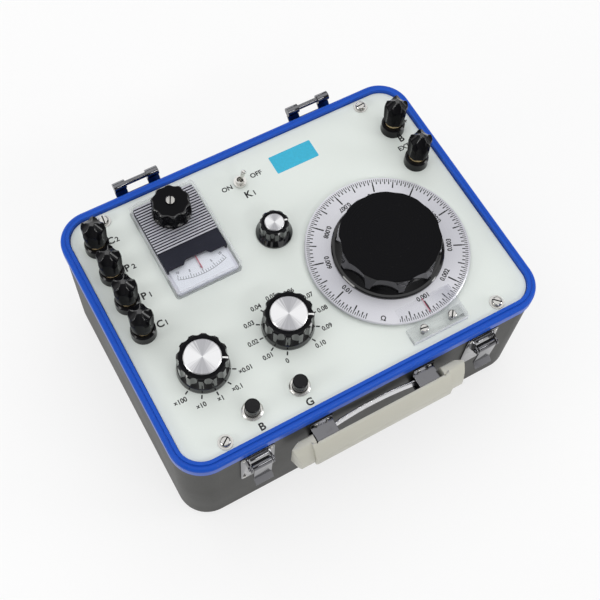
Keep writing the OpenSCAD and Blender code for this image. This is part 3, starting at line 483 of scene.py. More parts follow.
def meter_mask(name):
    """Dark mask with a painted highlight in light grey along the tops of its ribs."""
    f = Finish(name)
    top = top_of("galvanometer_mask")
    # Painted highlight along the rib tops, where they catch the light
    rib_highlight = f.step_up(f.height(), top - 0.7 * MM, top - 0.1 * MM)
    cloud = f.noise(3 * MM, 4.0)
    return f.surface(
        Base_Color=f.blend(rib_highlight * (0.85 + (cloud - 0.5) * 0.3), MASK, MASK_RIB_HIGHLIGHT),
        Roughness=0.42 + (cloud - 0.5) * 0.15, Normal=f.bump(cloud, 0.01 * MM, 0.4),
        Specular_IOR_Level=0.05)


def slotted(name, colour, rough, floors):
    """Turned screws: bright heads, with painted shade on the slot floors at the given heights."""
    f = Finish(name)
    height = f.height()
    painted_slot_shade = 0.0
    # Painted shade on each slot floor
    for floor in floors:
        painted_slot_shade = painted_slot_shade + (1 - f.step_up(abs(height - floor), 0.05 * MM, 0.16 * MM))
    marks = f.noise(2.5 * MM, 3.0)
    return f.surface(
        Base_Color=f.blend(painted_slot_shade, f.blend(marks, scaled(colour, 0.85), colour), SLOT_SHADE),
        Metallic=1.0, Roughness=rough + (marks - 0.5) * 0.1)


def circuit_board(name):
    """Green lacquered board with paler tracks."""
    f = Finish(name)
    tracks = f.node(
        "ShaderNodeTexBrick", {"offset": 0.5},
        {"Vector": f.place, "Scale": 160.0, "Mortar Size": 0.02}, out="Fac")
    cloud = f.noise(6 * MM)
    return f.surface(
        Base_Color=f.blend(tracks * 0.7, BOARD, BOARD_TRACKS),
        Roughness=0.3 + (cloud - 0.5) * 0.2)


def printed(name, colour, rough=0.45):
    """Silk-screened ink, slightly uneven."""
    f = Finish(name)
    patch = f.noise(1.5 * MM, 4.0, 0.6)
    return f.surface(
        Base_Color=f.blend(patch, scaled(colour, 0.8), scaled(colour, 1.2)),
        Roughness=rough + (patch - 0.5) * 0.2)


def slot_finishes(colours):
    """Finishes of the CAD pieces, by material slot."""
    cover = top_of("galvanometer_cover")
    return {
        "case_paint": paint("case_paint", colours.case, 0.46, 0.9 * MM, 0.05 * MM, gloss=0.22),
        "rim_blue": paint(
            "rim_blue", colours.rim, 0.30, 2.4 * MM, 0.002 * MM,
            coat=0.03, spread=0.05, fleck=0.04, gloss=0.15),
        "panel_paint": paint(
            "panel_paint", colours.panel, 0.42, 0.8 * MM, 0.012 * MM, spread=0.012),
        "nickel": plated("nickel", NICKEL, 0.24),
        "inner_metal": plated("inner_metal", INNER_METAL, 0.36),
        "rubber": moulded("rubber", RUBBER, 0.72, 0.5 * MM, 0.03 * MM, dust=0.12),
        "battery_plastic": moulded("battery_plastic", BATTERY_BOX, 0.45),
        "battery_sleeve": moulded("battery_sleeve", BATTERY_SLEEVE, 0.35),
        "black_plastic": moulded("black_plastic", BLACK, 0.14, dust=0.02, gloss=0.2),
        "dial_black": turned_black("dial_black", "dial_knob", 1.7 * MM),
        # The cover's painted highlight runs along its top edge and its foot
        "clear": clear_plastic(
            "clear", 0.008, cover - 2.9 * MM, edges=(cover - 1.4 * MM, PANEL.z + 0.6 * MM)),
        "mask_dark": meter_mask("mask_dark"),
        "scale_white": moulded("scale_white", METER_CARD, 0.5, dust=0.0),
        "needle_red": printed("needle_red", NEEDLE, 0.35),
        "bakelite": moulded("bakelite", BAKELITE, 0.32),
        "switch_board": moulded("switch_board", SWITCH_WAFER, 0.48),
        "brass": plated("brass", BRASS, 0.26),
        "shaft_steel": plated("shaft_steel", SHAFT_STEEL, 0.27),
        # Latches, brackets and hinges: chrome darkened as a painted reflection
        "chrome": plated("chrome", CHROME_DARK_REFLECTION, 0.10, relief=0.002 * MM),
        "board_green": circuit_board("board_green"),
        "grip_cream": moulded("grip_cream", colours.grip, 0.38, 0.8 * MM, 0.02 * MM, dust=0.0),
    }


def own_finishes():
    """Finishes of the CAD pieces that differ from their slot, by node."""
    # Heights of the panel screws' slot floors, which get painted shade
    screw_floors = (PANEL.z + 2.4 * MM, top_of("panel_screws") - 1.0 * MM)
    made = {
        "dial_disc": dial_metal("dial_silver"),
        "zero_knob": crowned_black("zero_black", 0.2, level=0.985),
        "handle_strap": plated("strap_chrome", STRAP_CHROME, 0.12, relief=0.002 * MM),
        # The cursor plate gets a painted highlight along its front
        "cursor_plate": clear_plastic(
            "cursor_clear", 0.04, PANEL.z + 4.2 * MM, plate="cursor_plate"),
        "panel_screws": slotted("panel_screws", SCREW_STEEL, 0.2, screw_floors),
        "galvanometer_base": moulded("meter_base", METER_BASE, 0.45, dust=0.0),
    }
    for body in ("step", "range", "sensitivity"):
        made[body + "_knob"] = fluted_black(body + "_black", body + "_knob")
        made[body + "_cap"] = spun(body + "_cap_spun", body + "_cap")
    cap = crowned_black("post_black", 0.62)
    # The collars' paler brass is painted light
    collar = plated("collar_brass", LIT_COLLAR_BRASS, 0.5)
    made.update({name: cap for name in NODES if name.startswith("post_cap")})
    made.update({name: collar for name in NODES if name.startswith("post_collar")})
    return made


# Modelling


def deselect():
    """Object mode with nothing selected."""
    if bpy.context.mode != "OBJECT":
        bpy.ops.object.mode_set(mode="OBJECT")
    bpy.ops.object.select_all(action="DESELECT")


def take(*objects):
    """Select these objects alone; the last is active."""
    deselect()
    for obj in objects:
        obj.select_set(True)
    bpy.context.view_layer.objects.active = objects[-1]


def apply_place(obj):
    """Put an object's place, turn and size into its mesh."""
    take(obj)
    bpy.ops.object.transform_apply(location=True, rotation=True, scale=True)


def edit_all(obj):
    """Edit mode with the whole mesh selected."""
    take(obj)
    bpy.ops.object.mode_set(mode="EDIT")
    bpy.ops.mesh.select_all(action="SELECT")


def select_points(obj, chosen):
    """Edit mode with only the chosen points selected."""
    edit_all(obj)
    bpy.ops.mesh.select_mode(type="VERT")
    bpy.ops.mesh.select_all(action="DESELECT")
    bpy.ops.object.mode_set(mode="OBJECT")
    for point, wanted in zip(obj.data.vertices, chosen):
        point.select = wanted
    bpy.ops.object.mode_set(mode="EDIT")


def close_mesh(obj, gap=MERGE):
    """Merge doubles and turn the faces outwards."""
    edit_all(obj)
    bpy.ops.mesh.remove_doubles(threshold=gap)
    bpy.ops.mesh.select_all(action="SELECT")
    bpy.ops.mesh.normals_make_consistent(inside=False)
    bpy.ops.object.mode_set(mode="OBJECT")


def modify(obj, kind, **settings):
    """Add a modifier and apply it."""
    take(obj)
    modifier = obj.modifiers.new(kind.title(), kind)
    for key, value in settings.items():
        setattr(modifier, key, value)
    bpy.ops.object.modifier_apply(modifier=modifier.name)


def smooth(obj, degrees=35):
    """Smooth shading that keeps the sharp edges."""
    take(obj)
    bpy.ops.object.shade_smooth_by_angle(angle=math.radians(degrees))


def finish_piece(parts, name, body, material):
    """Join the parts into one piece that rides a body."""
    take(*parts)
    if len(parts) > 1:
        bpy.ops.object.join()
    piece = bpy.context.object
    piece.name = name
    piece.data.name = name
    piece.data.materials.clear()
    piece.data.materials.append(material)
    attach(piece, body)
    return piece


def word(text, height, place, turn=0.0, squeeze=1.0, weight=0.028):
    """Letters of ink centred on a place, standing a little proud of it."""
    half_depth = 0.05
    deselect()
    bpy.ops.object.text_add()
    obj = bpy.context.object
    obj.data.body = text
    obj.data.resolution_u = 4
    obj.data.offset = weight
    obj.data.extrude = half_depth
    bpy.ops.object.convert(target="MESH")
    obj = bpy.context.object
    bpy.ops.object.origin_set(type="ORIGIN_GEOMETRY", center="BOUNDS")
    size = height / obj.dimensions.y
    obj.scale = (size * squeeze, size, INK / (2 * half_depth))
    obj.rotation_euler = (0, 0, turn)
    obj.location = place + Vector((0, 0, INK / 2))
    apply_place(obj)
    close_mesh(obj, INK_MERGE)
    return obj


def thicken_ink(obj):
    """Raise a flat mark to the ink's thickness."""
    edit_all(obj)
    bpy.ops.mesh.extrude_region_move(TRANSFORM_OT_translate={"value": (0, 0, INK)})
    bpy.ops.object.mode_set(mode="OBJECT")
    close_mesh(obj, INK_MERGE)


def line(centre, inner, outer, width, angle):
    """One straight mark of ink along a radius."""
    deselect()
    bpy.ops.mesh.primitive_plane_add(size=1.0)
    obj = bpy.context.object
    obj.scale = (outer - inner, width, 1.0)
    apply_place(obj)
    obj.location = ((inner + outer) / 2, 0, 0)
    apply_place(obj)
    thicken_ink(obj)
    obj.rotation_euler = (0, 0, angle)
    obj.location = centre
    apply_place(obj)
    return obj


def ring_of_lines(centre, inner, outer, width, first, step, count):
    """Marks of ink round a centre, counter-clockwise: one is modelled and spun.

    The two radii are in millimetres, the angles in degrees."""
    obj = line(centre, inner * MM, outer * MM, width, math.radians(first))
    edit_all(obj)
    bpy.ops.mesh.spin(
        steps=count - 1, dupli=True, angle=-math.radians(step) * (count - 1), center=centre,
        axis=(0, 0, 1))
    bpy.ops.object.mode_set(mode="OBJECT")
    close_mesh(obj, INK_MERGE)
    return obj


def dome(diameter, height):
    """A rivet head at the origin, with its flat side down."""
    deselect()
    bpy.ops.mesh.primitive_uv_sphere_add(segments=28, ring_count=16, radius=diameter / 2)
    obj = bpy.context.object
    edit_all(obj)
    bpy.ops.mesh.bisect(plane_co=(0, 0, 0), plane_no=(0, 0, 1), clear_inner=True, use_fill=True)
    bpy.ops.object.mode_set(mode="OBJECT")
    obj.scale = (1, 1, height / (diameter / 2))
    apply_place(obj)
    close_mesh(obj)
    smooth(obj, 50)
    return obj


def slotted_head(diameter, height, slot):
    """A slotted screw head at the origin, with its flat side down."""
    deselect()
    bpy.ops.mesh.primitive_cylinder_add(
        vertices=40, radius=diameter / 2, depth=height, location=(0, 0, height / 2))
    head = bpy.context.object
    apply_place(head)
    modify(head, "BEVEL", width=height * 0.3, segments=3, limit_method="ANGLE")
    bpy.ops.mesh.primitive_cube_add(size=1.0, location=(0, 0, height))
    cutter = bpy.context.object
    cutter.scale = (diameter * 1.4, slot, height * 0.9)
    apply_place(cutter)
    modify(head, "BOOLEAN", operation="DIFFERENCE", object=cutter, solver="EXACT")
    bpy.data.objects.remove(cutter)
    close_mesh(head)
    smooth(head)
    return head


def copies(model, places):
    """One copy of a model, with its own mesh, at each (location, turn); the model goes."""
    made = []
    for location, turn in places:
        take(model)
        bpy.ops.object.duplicate(linked=False)
        obj = bpy.context.object
        obj.rotation_euler = turn
        obj.location = location
        apply_place(obj)
        made.append(obj)
    bpy.data.objects.remove(model)
    return made


def radial(centre, radius, degrees):
    """A place at a distance in millimetres and an angle from a centre."""
    a = math.radians(degrees)
    return centre + Vector((math.cos(a), math.sin(a), 0)) * (radius * MM)


def both_sides(x, asides, y, heights, turn):
    """Places beside two points of a wall, left and right, each with its turn.

    The steps aside are in millimetres."""
    return [
        (Vector((side * x + aside * MM, y, z)), turn)
        for side in (-1, 1) for aside in asides for z in heights]


def copy_of(name):
    """A merged copy of a CAD piece, to be reshaped."""
    deselect()
    bpy.ops.mesh.primitive_plane_add(size=1.0)
    piece = bpy.context.object
    piece.data = NODES[name].data.copy()
    close_mesh(piece)
    return piece


def stand_in(piece, name, ending):
    """Show a reshaped copy in place of its CAD piece."""
    node = NODES[name]
    finish_piece([piece], name + ending, node["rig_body"], node.data.materials[0])
    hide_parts(name)


class BridgeOperator(bpy.types.Operator):
    """Shared settings of the building steps."""

    bl_options = {"REGISTER", "UNDO"}

    @classmethod
    def poll(cls, context):
        return context.scene is not None


class BRIDGE_OT_finishes(BridgeOperator):
    """Give every CAD piece its finish"""

    bl_idname = "bridge.finishes"
    bl_label = "Finishes"

    def execute(self, context):
        by_slot = slot_finishes(context.scene.bridge_colours)
        by_node = own_finishes()
        for name, obj in NODES.items():
            obj.data.materials.clear()
            obj.data.materials.append(by_node.get(name) or by_slot[SLOTS[name]])
        return {"FINISHED"}


# Stage

# Name, place, aim, size, power and colour of each lamp
LAMPS = (
    ("ceiling", (0.0, 0.25, 1.6), (0.0, 0.0, 0.1), (2.6, 2.2), 18.5, (1.0, 1.0, 1.0)),
    ("left", (-1.22, 0.0, 0.56), (0.0, 0.0, 0.12), (0.5, 0.3), 3.6, (1.0, 0.99, 0.97)),
    ("right", (1.04, -0.69, 0.42), (0.0, 0.0, 0.12), (0.45, 0.3), 3.6, (1.0, 1.0, 1.0)),
    ("front", (0.28, -1.05, 1.05), (0.0, 0.0, 0.12), (0.7, 0.18), 3.0, (1.0, 1.0, 1.0)),
    ("back", (0.0, 1.5, 0.6), (0.0, 0.0, 0.1), (1.3, 0.4), 4.2, (0.97, 0.98, 1.0)),
)
WHITE = (1.0, 1.0, 1.0, 1.0)
WORLD_LEVEL = 0.34
MIRRORED_HORIZON, MIRRORED_DROP = 0.95, 0.83
FLOOR_COLOUR = (0.90, 0.90, 0.90)
FLOOR_SIZE, FLOOR_DROP = 6.0, 0.5 * MM
FLOOR_WHITE = 0.70
CAMERA_RIGHT = (0.8712, -0.48921, 0.04103)
CAMERA_BACK = (-0.24347, -0.35798, 0.90143)
CAMERA_PLACE = (-202.504, -304.959, 696.715)
CAMERA_LENS, CAMERA_SENSOR = 63.47, 36.0


def camera_matrix():
    """Camera frame: its right, up and backward directions, and its place."""
    right = Vector(CAMERA_RIGHT).normalized()
    back = Vector(CAMERA_BACK).normalized()
    up = back.cross(right)
    matrix = Matrix((right, up, back)).transposed().to_4x4()
    matrix.translation = on_panel(*CAMERA_PLACE)
    return matrix


def backdrop_finish():
    """Pale floor that keeps the shadow, and is white away from the object."""
    f = Finish("backdrop")
    cloud = f.noise(0.4)
    matt = f.node(
        "ShaderNodeBsdfPrincipled", {},
        {"Base Color": f.blend(cloud, scaled(FLOOR_COLOUR, 0.985), FLOOR_COLOUR),
         "Roughness": 0.9})
    white = f.node("ShaderNodeEmission", {}, {"Color": WHITE, "Strength": 1.0})
    away = f.round_about(Vector())[0]
    share = FLOOR_WHITE + f.step_up(away, 0.25, 1.0) * (1 - FLOOR_WHITE)
    seen = f.ray("Camera") + f.ray("Glossy") + f.ray("Transmission")
    mixed = f.node("ShaderNodeMixShader", {}, {0: seen * share, 1: matt, 2: white})
    f.node("ShaderNodeOutputMaterial", {}, {"Surface": mixed})
    return f.material


def world_light(scene):
    """Even light from all round: white to the camera, a dim ceiling in reflections."""
    scene.world = scene.world or bpy.data.worlds.new("studio")
    sky = Nodes(scene.world)
    up = sky.along("Z", sky.node("ShaderNodeTexCoord", out="Generated"))
    mirrored = MIRRORED_HORIZON - sky.step_up(up, 0.02, 0.5) * MIRRORED_DROP
    level = (
        WORLD_LEVEL + sky.ray("Glossy") * (mirrored - WORLD_LEVEL)
        + sky.ray("Camera") * (1.0 - WORLD_LEVEL))
    light = sky.node("ShaderNodeBackground", {}, {"Color": WHITE, "Strength": level})
    sky.node("ShaderNodeOutputWorld", {}, {"Surface": light})


class BRIDGE_OT_stage(BridgeOperator):
    """Set up the floor, the lights and the camera"""

    bl_idname = "bridge.stage"
    bl_label = "Stage"

    def execute(self, context):
        deselect()
        bpy.ops.mesh.primitive_plane_add(size=FLOOR_SIZE, location=(0, 0, -FLOOR_DROP))
        floor = context.object
        floor.name = "floor"
        floor.data.materials.append(backdrop_finish())
        world_light(context.scene)
        for name, place, aim, size, power, colour in LAMPS:
            deselect()
            bpy.ops.object.light_add(type="AREA", location=place)
            lamp = context.object
            lamp.name = name
            lamp.data.shape = "RECTANGLE"
            lamp.data.size, lamp.data.size_y = size
            lamp.data.energy = power
            lamp.data.color = colour
            way = Vector(aim) - Vector(place)
            lamp.rotation_euler = way.to_track_quat("-Z", "Y").to_euler()
        deselect()
        bpy.ops.object.camera_add()
        camera = context.object
        camera.name = "camera"
        camera.matrix_world = camera_matrix()
        camera.data.sensor_fit = "HORIZONTAL"
        camera.data.sensor_width = CAMERA_SENSOR
        camera.data.lens = CAMERA_LENS
        camera.data.clip_start = 0.01
        context.scene.camera = camera
        context.scene.view_settings.view_transform = "Standard"
        return {"FINISHED"}


# Marks, placed in millimetres from the middle of the panel or of their knob

TERMINALS = (
    ("C", "2", -114.6, 81.0), ("P", "2", -113.4, 54.7), ("P", "1", -112.6, 28.2),
    ("C", "1", -112.2, 2.7), ("K", "1", -5.0, 68.8),
)
DIGIT_SHARE, DIGIT_ASIDE, DIGIT_DROP = 0.72, 4.6, 0.9


class BRIDGE_OT_lettering(BridgeOperator):
    """Print the words and letters on the panel"""

    bl_idname = "bridge.lettering"
    bl_label = "Panel lettering"

    def execute(self, context):
        sizes = context.scene.bridge_sizes
        parts = []
        for letter, digit, x, y in TERMINALS:
            parts.append(word(letter, sizes.letter, on_panel(x, y)))
            spot = on_panel(x + DIGIT_ASIDE, y - DIGIT_DROP)
            parts.append(word(digit, sizes.letter * DIGIT_SHARE, spot))
        for text, height, x, y in (
                ("ON", sizes.word, -17.5, 80.5), ("OFF", sizes.word, 8.5, 82.0),
                ("B", sizes.letter, -84.5, -100.2), ("G", sizes.letter, -46.8, -100.2),
                ("B", sizes.letter, 125.9, 57.6), ("EXT", sizes.word, 123.8, 49.6),
                ("+", sizes.word * 0.8, 137.4, 70.4)):
            parts.append(word(text, height, on_panel(x, y)))
        finish_piece(
            parts, "panel_lettering", "case",
            printed("panel_ink", context.scene.bridge_colours.ink))
        return {"FINISHED"}


# Piece, centre, first line's angle, how far figures at the sides move out, and the figures
SWITCH_SCALES = (
    ("step_scale", STEP, -60, 2.6, (
        "0.10", "0.09", "0.08", "0.07", "0.06", "0.05", "0.04", "0.03", "0.02", "0.01", "0")),
    ("range_scale", RANGE, -150, 4.0, ("×100", "×10", "×1", "×0.1", "×0.01")),
)
SWITCH_TURN = 30
SWITCH_LINE, SWITCH_FIGURE = (20.2, 23.2), 26.0


class BRIDGE_OT_switch_scales(BridgeOperator):
    """Print the lines and figures round the knobs"""

    bl_idname = "bridge.switch_scales"
    bl_label = "Knob scales"

    def execute(self, context):
        sizes = context.scene.bridge_sizes
        ink = printed("scale_ink", context.scene.bridge_colours.ink)
        for name, centre, first, aside, figures in SWITCH_SCALES:
            parts = [ring_of_lines(
                centre, *SWITCH_LINE, sizes.tick, first, SWITCH_TURN, len(figures))]
            for i, text in enumerate(figures):
                angle = first + SWITCH_TURN * i
                reach = SWITCH_FIGURE + aside * abs(math.cos(math.radians(angle)))
                parts.append(word(text, sizes.figure, radial(centre, reach, angle), squeeze=0.92))
            finish_piece(parts, name, "case", ink)
        return {"FINISHED"}


DIAL_FIGURES = (
    "0.001", "0.002", "0.003", "0.004", "0.005", "0.006", "0.007", "0.008", "0.009", "0.01")
FIRST_FIGURE, FIGURE_STEP = -88.6, 31.83
LEAD_IN, LEAD_OUT = 15, 16
EDGE_RING, FINE_RING, EVEN_RING, HALF_RING, MAIN_RING = 60.8, 58.4, 56.2, 53.2, 49.7
FIGURE_RING, UNIT_RING = 46.6, 57.6
UNIT_TURN = -35.8


class BRIDGE_OT_dial_scale(BridgeOperator):
    """Engrave the graduations and figures of the dial"""

    bl_idname = "bridge.dial_scale"
    bl_label = "Dial scale"

    def execute(self, context):
        sizes = context.scene.bridge_sizes
        n = sizes.divisions
        width = sizes.graduation
        majors = len(DIAL_FIGURES)
        division = FIGURE_STEP / n
        count = LEAD_IN + (majors - 1) * n + LEAD_OUT + 1
        parts = [
            ring_of_lines(
                DIAL, FINE_RING, EDGE_RING, width, FIRST_FIGURE - LEAD_IN * division,
                division, count),
            ring_of_lines(
                DIAL, EVEN_RING, FINE_RING, width * 1.5,
                FIRST_FIGURE - (LEAD_IN - 1) * division, 2 * division, count // 2),
            ring_of_lines(
                DIAL, HALF_RING, EVEN_RING, width * 1.8, FIRST_FIGURE - n / 2 * division,
                FIGURE_STEP, majors + 1),
            ring_of_lines(
                DIAL, MAIN_RING, EVEN_RING, width * 2.0, FIRST_FIGURE, FIGURE_STEP, majors),
        ]
        for i, text in enumerate(DIAL_FIGURES):
            angle = FIRST_FIGURE + FIGURE_STEP * i
            parts.append(word(
                text, sizes.dial_figure, radial(DIAL, FIGURE_RING, angle + 0.6),
                math.radians(angle + 90), squeeze=0.95, weight=0.03))
        unit = FIRST_FIGURE + UNIT_TURN
        parts.append(word(
            "Ω", sizes.dial_figure * 1.1, radial(DIAL, UNIT_RING, unit),
            math.radians(unit + 90)))
        finish_piece(
            parts, "dial_scale", "dial",
            printed("dial_ink", context.scene.bridge_colours.ink))
        return {"FINISHED"}


METER_FIGURES = ("10", "5", "0", "5", "10")
METER_DOWN, METER_SWING = -90.0, 22.0
METER_ARC, METER_FINE, METER_MAIN = 52.4, 50.2, 48.6
METER_ARC_MIDDLE, METER_ARC_WIDTH, METER_ARC_PIECES = 52.6 * MM, 0.35, 80
METER_FINE_WIDTH, METER_MAIN_WIDTH = 0.35 * MM, 0.42 * MM
METER_FIGURE_RING, METER_FIGURE_HEIGHT = 46.6, 2.2 * MM


class BRIDGE_OT_meter_scale(BridgeOperator):
    """Print the scale of the galvanometer"""

    bl_idname = "bridge.meter_scale"
    bl_label = "Galvanometer scale"

    def execute(self, context):
        first = METER_DOWN - METER_SWING
        arc_step = 2 * METER_SWING / METER_ARC_PIECES
        arc_piece = METER_ARC_MIDDLE * math.radians(arc_step) * 1.02
        parts = [
            ring_of_lines(
                PIVOT, METER_FINE, METER_ARC, METER_FINE_WIDTH, first, METER_SWING / 10, 21),
            ring_of_lines(
                PIVOT, METER_MAIN, METER_FINE, METER_MAIN_WIDTH, first, METER_SWING / 2, 5),
            ring_of_lines(
                PIVOT, METER_ARC, METER_ARC + METER_ARC_WIDTH, arc_piece, first, arc_step,
                METER_ARC_PIECES + 1),
        ]
        for i, text in enumerate(METER_FIGURES):
            angle = METER_DOWN + METER_SWING * (i - 2) / 2
            parts.append(word(
                text, METER_FIGURE_HEIGHT, radial(PIVOT, METER_FIGURE_RING, angle),
                math.radians(angle + 90), squeeze=0.95))
        finish_piece(parts, "meter_scale", "case", printed("meter_ink", METER_INK))
        return {"FINISHED"}


# Body, centre, inner and outer end, drop over the skirt and angle of each pointer
POINTERS = (
    ("step", STEP, 13.7, 17.9, 7.0, -30.0),
    ("range", RANGE, 13.7, 17.9, 7.0, -30.0),
    ("sensitivity", SENSITIVITY, 7.6, 9.9, 0.0, -14.0),
)
POINTER_WIDTH, POINTER_DEPTH, POINTER_SUNK = 1.3 * MM, 1.2 * MM, 0.15 * MM


class BRIDGE_OT_pointers(BridgeOperator):
    """Inlay the white pointers of the knobs"""

    bl_idname = "bridge.pointers"
    bl_label = "Knob pointers"

    def execute(self, context):
        white = printed("pointer_white", POINTER_WHITE, 0.35)
        for body, centre, inner, outer, drop, angle in POINTERS:
            half_way = (inner + outer) / 2 * MM
            deselect()
            bpy.ops.mesh.primitive_cube_add(size=1.0)
            bar = context.object
            bar.scale = ((outer - inner) * MM, POINTER_WIDTH, POINTER_DEPTH)
            bar.location = (half_way, 0, 0)
            apply_place(bar)
            if drop:
                edit_all(bar)
                bpy.ops.mesh.subdivide(number_cuts=1)
                bpy.ops.mesh.select_all(action="DESELECT")
                bpy.ops.object.mode_set(mode="OBJECT")
                for face in bar.data.polygons:
                    face.select = face.normal.z < -0.9 and face.center.x > half_way
                bpy.ops.object.mode_set(mode="EDIT")
                bpy.ops.mesh.extrude_region_move(
                    TRANSFORM_OT_translate={"value": (0, 0, -drop * MM)})
                bpy.ops.object.mode_set(mode="OBJECT")
            modify(bar, "BEVEL", width=0.25 * MM, segments=2, limit_method="ANGLE")
            bar.rotation_euler = (0, 0, math.radians(angle))
            height = top_of(body + "_cap") - POINTER_SUNK - POINTER_DEPTH / 2
            bar.location = (centre.x, centre.y, height)
            apply_place(bar)
            smooth(bar)
            finish_piece([bar], body + "_pointer", body, white)
        return {"FINISHED"}


CURSOR_BLADE = 2.0 * MM
HAIRLINE_START, HAIRLINE_END, HAIRLINE_WIDTH = 0.4 * MM, 12.5 * MM, 0.55 * MM


class BRIDGE_OT_hairline(BridgeOperator):
    """Engrave the line of the cursor"""

    bl_idname = "bridge.hairline"
    bl_label = "Cursor hairline"

    def execute(self, context):
        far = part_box("cursor_plate")[1]
        place = Vector((DIAL.x, far.y, far.z - CURSOR_BLADE - INK))
        mark = line(place, HAIRLINE_START, HAIRLINE_END, HAIRLINE_WIDTH, math.radians(-90))
        finish_piece(
            [mark], "cursor_hairline", "case",
            printed("hairline_ink", context.scene.bridge_colours.hairline))
        return {"FINISHED"}


LABEL_SIZE, LABEL_PLACE = (36.6 * MM, 16.4 * MM, 1.0), (42.0, 82.2)
LABEL_CORNER = 0.8 * MM


class BRIDGE_OT_label(BridgeOperator):
    """Print the plain label on the panel"""

    bl_idname = "bridge.label"
    bl_label = "Plain label"

    def execute(self, context):
        deselect()
        bpy.ops.mesh.primitive_plane_add(size=1.0)
        label = context.object
        label.scale = LABEL_SIZE
        apply_place(label)
        edit_all(label)
        bpy.ops.mesh.bevel(offset=LABEL_CORNER, segments=3, affect="VERTICES")
        thicken_ink(label)
        label.location = on_panel(*LABEL_PLACE)
        apply_place(label)
        finish_piece(
            [label], "plain_label", "case",
            printed("label_print", context.scene.bridge_colours.label, 0.4))
        return {"FINISHED"}


# Fasteners

FORWARD, BACKWARD = (math.radians(90), 0, 0), (math.radians(-90), 0, 0)
HATCH_SCREW_TURN = (math.radians(180), 0, math.radians(30))
ZERO_SCREW_TURN = (0, 0, math.radians(62))
HATCH_SCREW_INSET = 4.0 * MM


class BRIDGE_OT_fasteners(BridgeOperator):
    """Set the rivets and screws"""

    bl_idname = "bridge.fasteners"
    bl_label = "Rivets and screws"

    def execute(self, context):
        rivet = context.scene.bridge_sizes.rivet
        metal = plated("fastener_nickel", FASTENER_STEEL, 0.22)
        front, rear = (corner.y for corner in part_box("case_shell"))
        latch_low, latch_high = (corner.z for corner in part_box("latch_plates"))
        bracket_low, bracket_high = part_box("handle_brackets")
        hinge_low, hinge_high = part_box("hinge_leaves")
        for name, share, height, spots in (
                ("latch_rivets", 0.75, 0.9, both_sides(
                    abs(middle("latch_lever_left").x), (-10.6, 10.6), front - 1.2 * MM,
                    (latch_high - 4.2 * MM, latch_low + 4.2 * MM), FORWARD)),
                ("bracket_rivets", 0.8, 1.0, both_sides(
                    bracket_high.x - 9.0 * MM, (-4.6, 4.6), front - 1.3 * MM,
                    (bracket_high.z - 3.4 * MM, bracket_low.z + 3.4 * MM), FORWARD)),
                ("hinge_rivets", 1.25, 1.4, both_sides(
                    hinge_high.x - 18.5 * MM, (-12.0, 0.0, 12.0), rear + 1.5 * MM,
                    (hinge_low.z + 12.0 * MM,), BACKWARD))):
            heads = copies(dome(rivet * share, height * MM), spots)
            finish_piece(heads, name, "case", metal)
        low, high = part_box("battery_hatch")
        spots = [
            (Vector((x, y, low.z)), HATCH_SCREW_TURN)
            for x in (low.x + HATCH_SCREW_INSET, high.x - HATCH_SCREW_INSET)
            for y in (low.y + HATCH_SCREW_INSET, high.y - HATCH_SCREW_INSET)]
        screws = copies(slotted_head(5.0 * MM, 1.1 * MM, 0.8 * MM), spots)
        finish_piece(screws, "hatch_screws", "case", metal)
        crown = top_of("zero_knob")
        spots = [(axis_of("zero_knob", crown - 0.02 * MM), ZERO_SCREW_TURN)]
        screw = copies(slotted_head(6.8 * MM, 1.5 * MM, 1.0 * MM), spots)
        # The slot floor gets painted shade
        steel = slotted("zero_screw", FASTENER_STEEL, 0.2, (crown + 0.8 * MM,))
        finish_piece(screw, "zero_screw", "zero", steel)
        return {"FINISHED"}


# Copies that stand for CAD pieces

SOFT_EDGED = (
    "handle_grip", "handle_brackets", "handle_strap", "latch_plates", "latch_lever_left",
    "latch_lever_right", "hinge_leaves",
)
GRIP_EDGE = 2.5


class BRIDGE_OT_soft_edges(BridgeOperator):
    """Round the edges of the pressed metal and of the grip"""

    bl_idname = "bridge.soft_edges"
    bl_label = "Rounded edges"

    def execute(self, context):
        edge = context.scene.bridge_sizes.edge
        for name in SOFT_EDGED:
            piece = copy_of(name)
            edit_all(piece)
            bpy.ops.mesh.dissolve_limited(angle_limit=math.radians(0.6))
            bpy.ops.object.mode_set(mode="OBJECT")
            modify(
                piece, "BEVEL", width=edge * (GRIP_EDGE if name == "handle_grip" else 1.0),
                segments=3, limit_method="ANGLE", angle_limit=math.radians(38),
                use_clamp_overlap=True)
            smooth(piece, 40)
            stand_in(piece, name, "_soft")
        return {"FINISHED"}


# Solid crown over the bore, stretch that keeps the bore clear, and passes of smoothing
ZERO_ROUNDING = (2.5 * MM, 0.95, 60)
CAP_ROUNDING = (6.0 * MM, 1.06, 22)
BORE_REACH = 4.8 * MM
VOXEL = 0.3 * MM


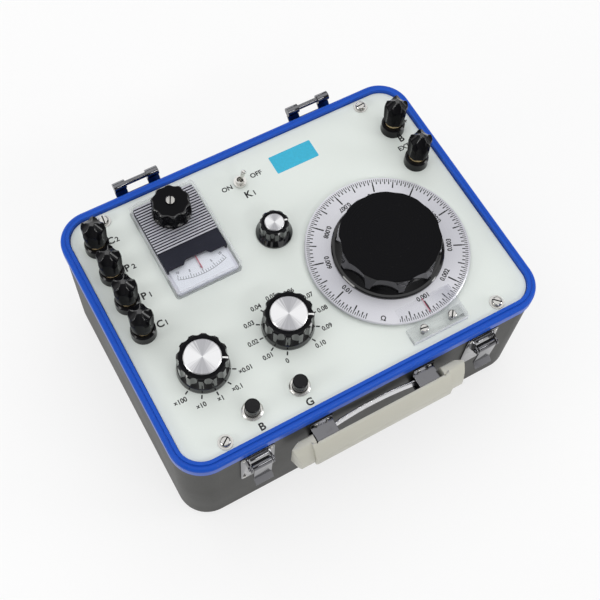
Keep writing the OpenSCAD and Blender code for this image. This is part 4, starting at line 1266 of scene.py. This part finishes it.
class BRIDGE_OT_rounded(BridgeOperator):
    """Round the mouldings of the post caps and of the zero knob"""

    bl_idname = "bridge.rounded"
    bl_label = "Rounded mouldings"

    def execute(self, context):
        for name in ("zero_knob", *(node for node in NODES if node.startswith("post_cap"))):
            crown, fit, passes = ZERO_ROUNDING if name == "zero_knob" else CAP_ROUNDING
            piece = copy_of(name)
            modify(piece, "REMESH", mode="VOXEL", voxel_size=VOXEL)
            axis, top = middle(name), top_of(name) - crown
            inside = [
                (v.co - axis).to_2d().length < BORE_REACH and v.co.z < top
                for v in piece.data.vertices]
            select_points(piece, inside)
            bpy.ops.transform.resize(value=(fit, fit, 1.0), center_override=axis)
            bpy.ops.object.mode_set(mode="OBJECT")
            outside = piece.vertex_groups.new(name="outside")
            outside.add([i for i, within in enumerate(inside) if not within], 1.0, "REPLACE")
            modify(piece, "SMOOTH", factor=0.5, iterations=passes, vertex_group=outside.name)
            piece.vertex_groups.clear()
            smooth(piece, 80)
            stand_in(piece, name, "_round")
        return {"FINISHED"}


# Add-on


class BRIDGE_PT_panel(bpy.types.Panel):
    """Lists the building steps"""

    bl_idname = "BRIDGE_PT_panel"
    bl_label = "Double bridge"
    bl_space_type = "VIEW_3D"
    bl_region_type = "UI"
    bl_category = "Bridge"

    def draw(self, context):
        for step in STEPS:
            self.layout.operator(step.bl_idname)
        for group in (context.scene.bridge_sizes, context.scene.bridge_colours):
            box = self.layout.box()
            for name in group.bl_rna.properties.keys():
                if name not in ("rna_type", "name"):
                    box.prop(group, name)


STEPS = (
    BRIDGE_OT_stage,
    BRIDGE_OT_finishes,
    BRIDGE_OT_lettering,
    BRIDGE_OT_switch_scales,
    BRIDGE_OT_dial_scale,
    BRIDGE_OT_meter_scale,
    BRIDGE_OT_pointers,
    BRIDGE_OT_hairline,
    BRIDGE_OT_fasteners,
    BRIDGE_OT_label,
    BRIDGE_OT_soft_edges,
    BRIDGE_OT_rounded,
)
CLASSES = (BridgeSizes, BridgeColours, *STEPS, BRIDGE_PT_panel)


def register():
    for cls in CLASSES:
        bpy.utils.register_class(cls)
    bpy.types.Scene.bridge_sizes = PointerProperty(type=BridgeSizes)
    bpy.types.Scene.bridge_colours = PointerProperty(type=BridgeColours)


def unregister():
    del bpy.types.Scene.bridge_colours
    del bpy.types.Scene.bridge_sizes
    for cls in reversed(CLASSES):
        bpy.utils.unregister_class(cls)


def main():
    register()
    for step in STEPS:
        group, name = step.bl_idname.split(".")
        getattr(getattr(bpy.ops, group), name)()


if __name__ == "__main__":
    main()
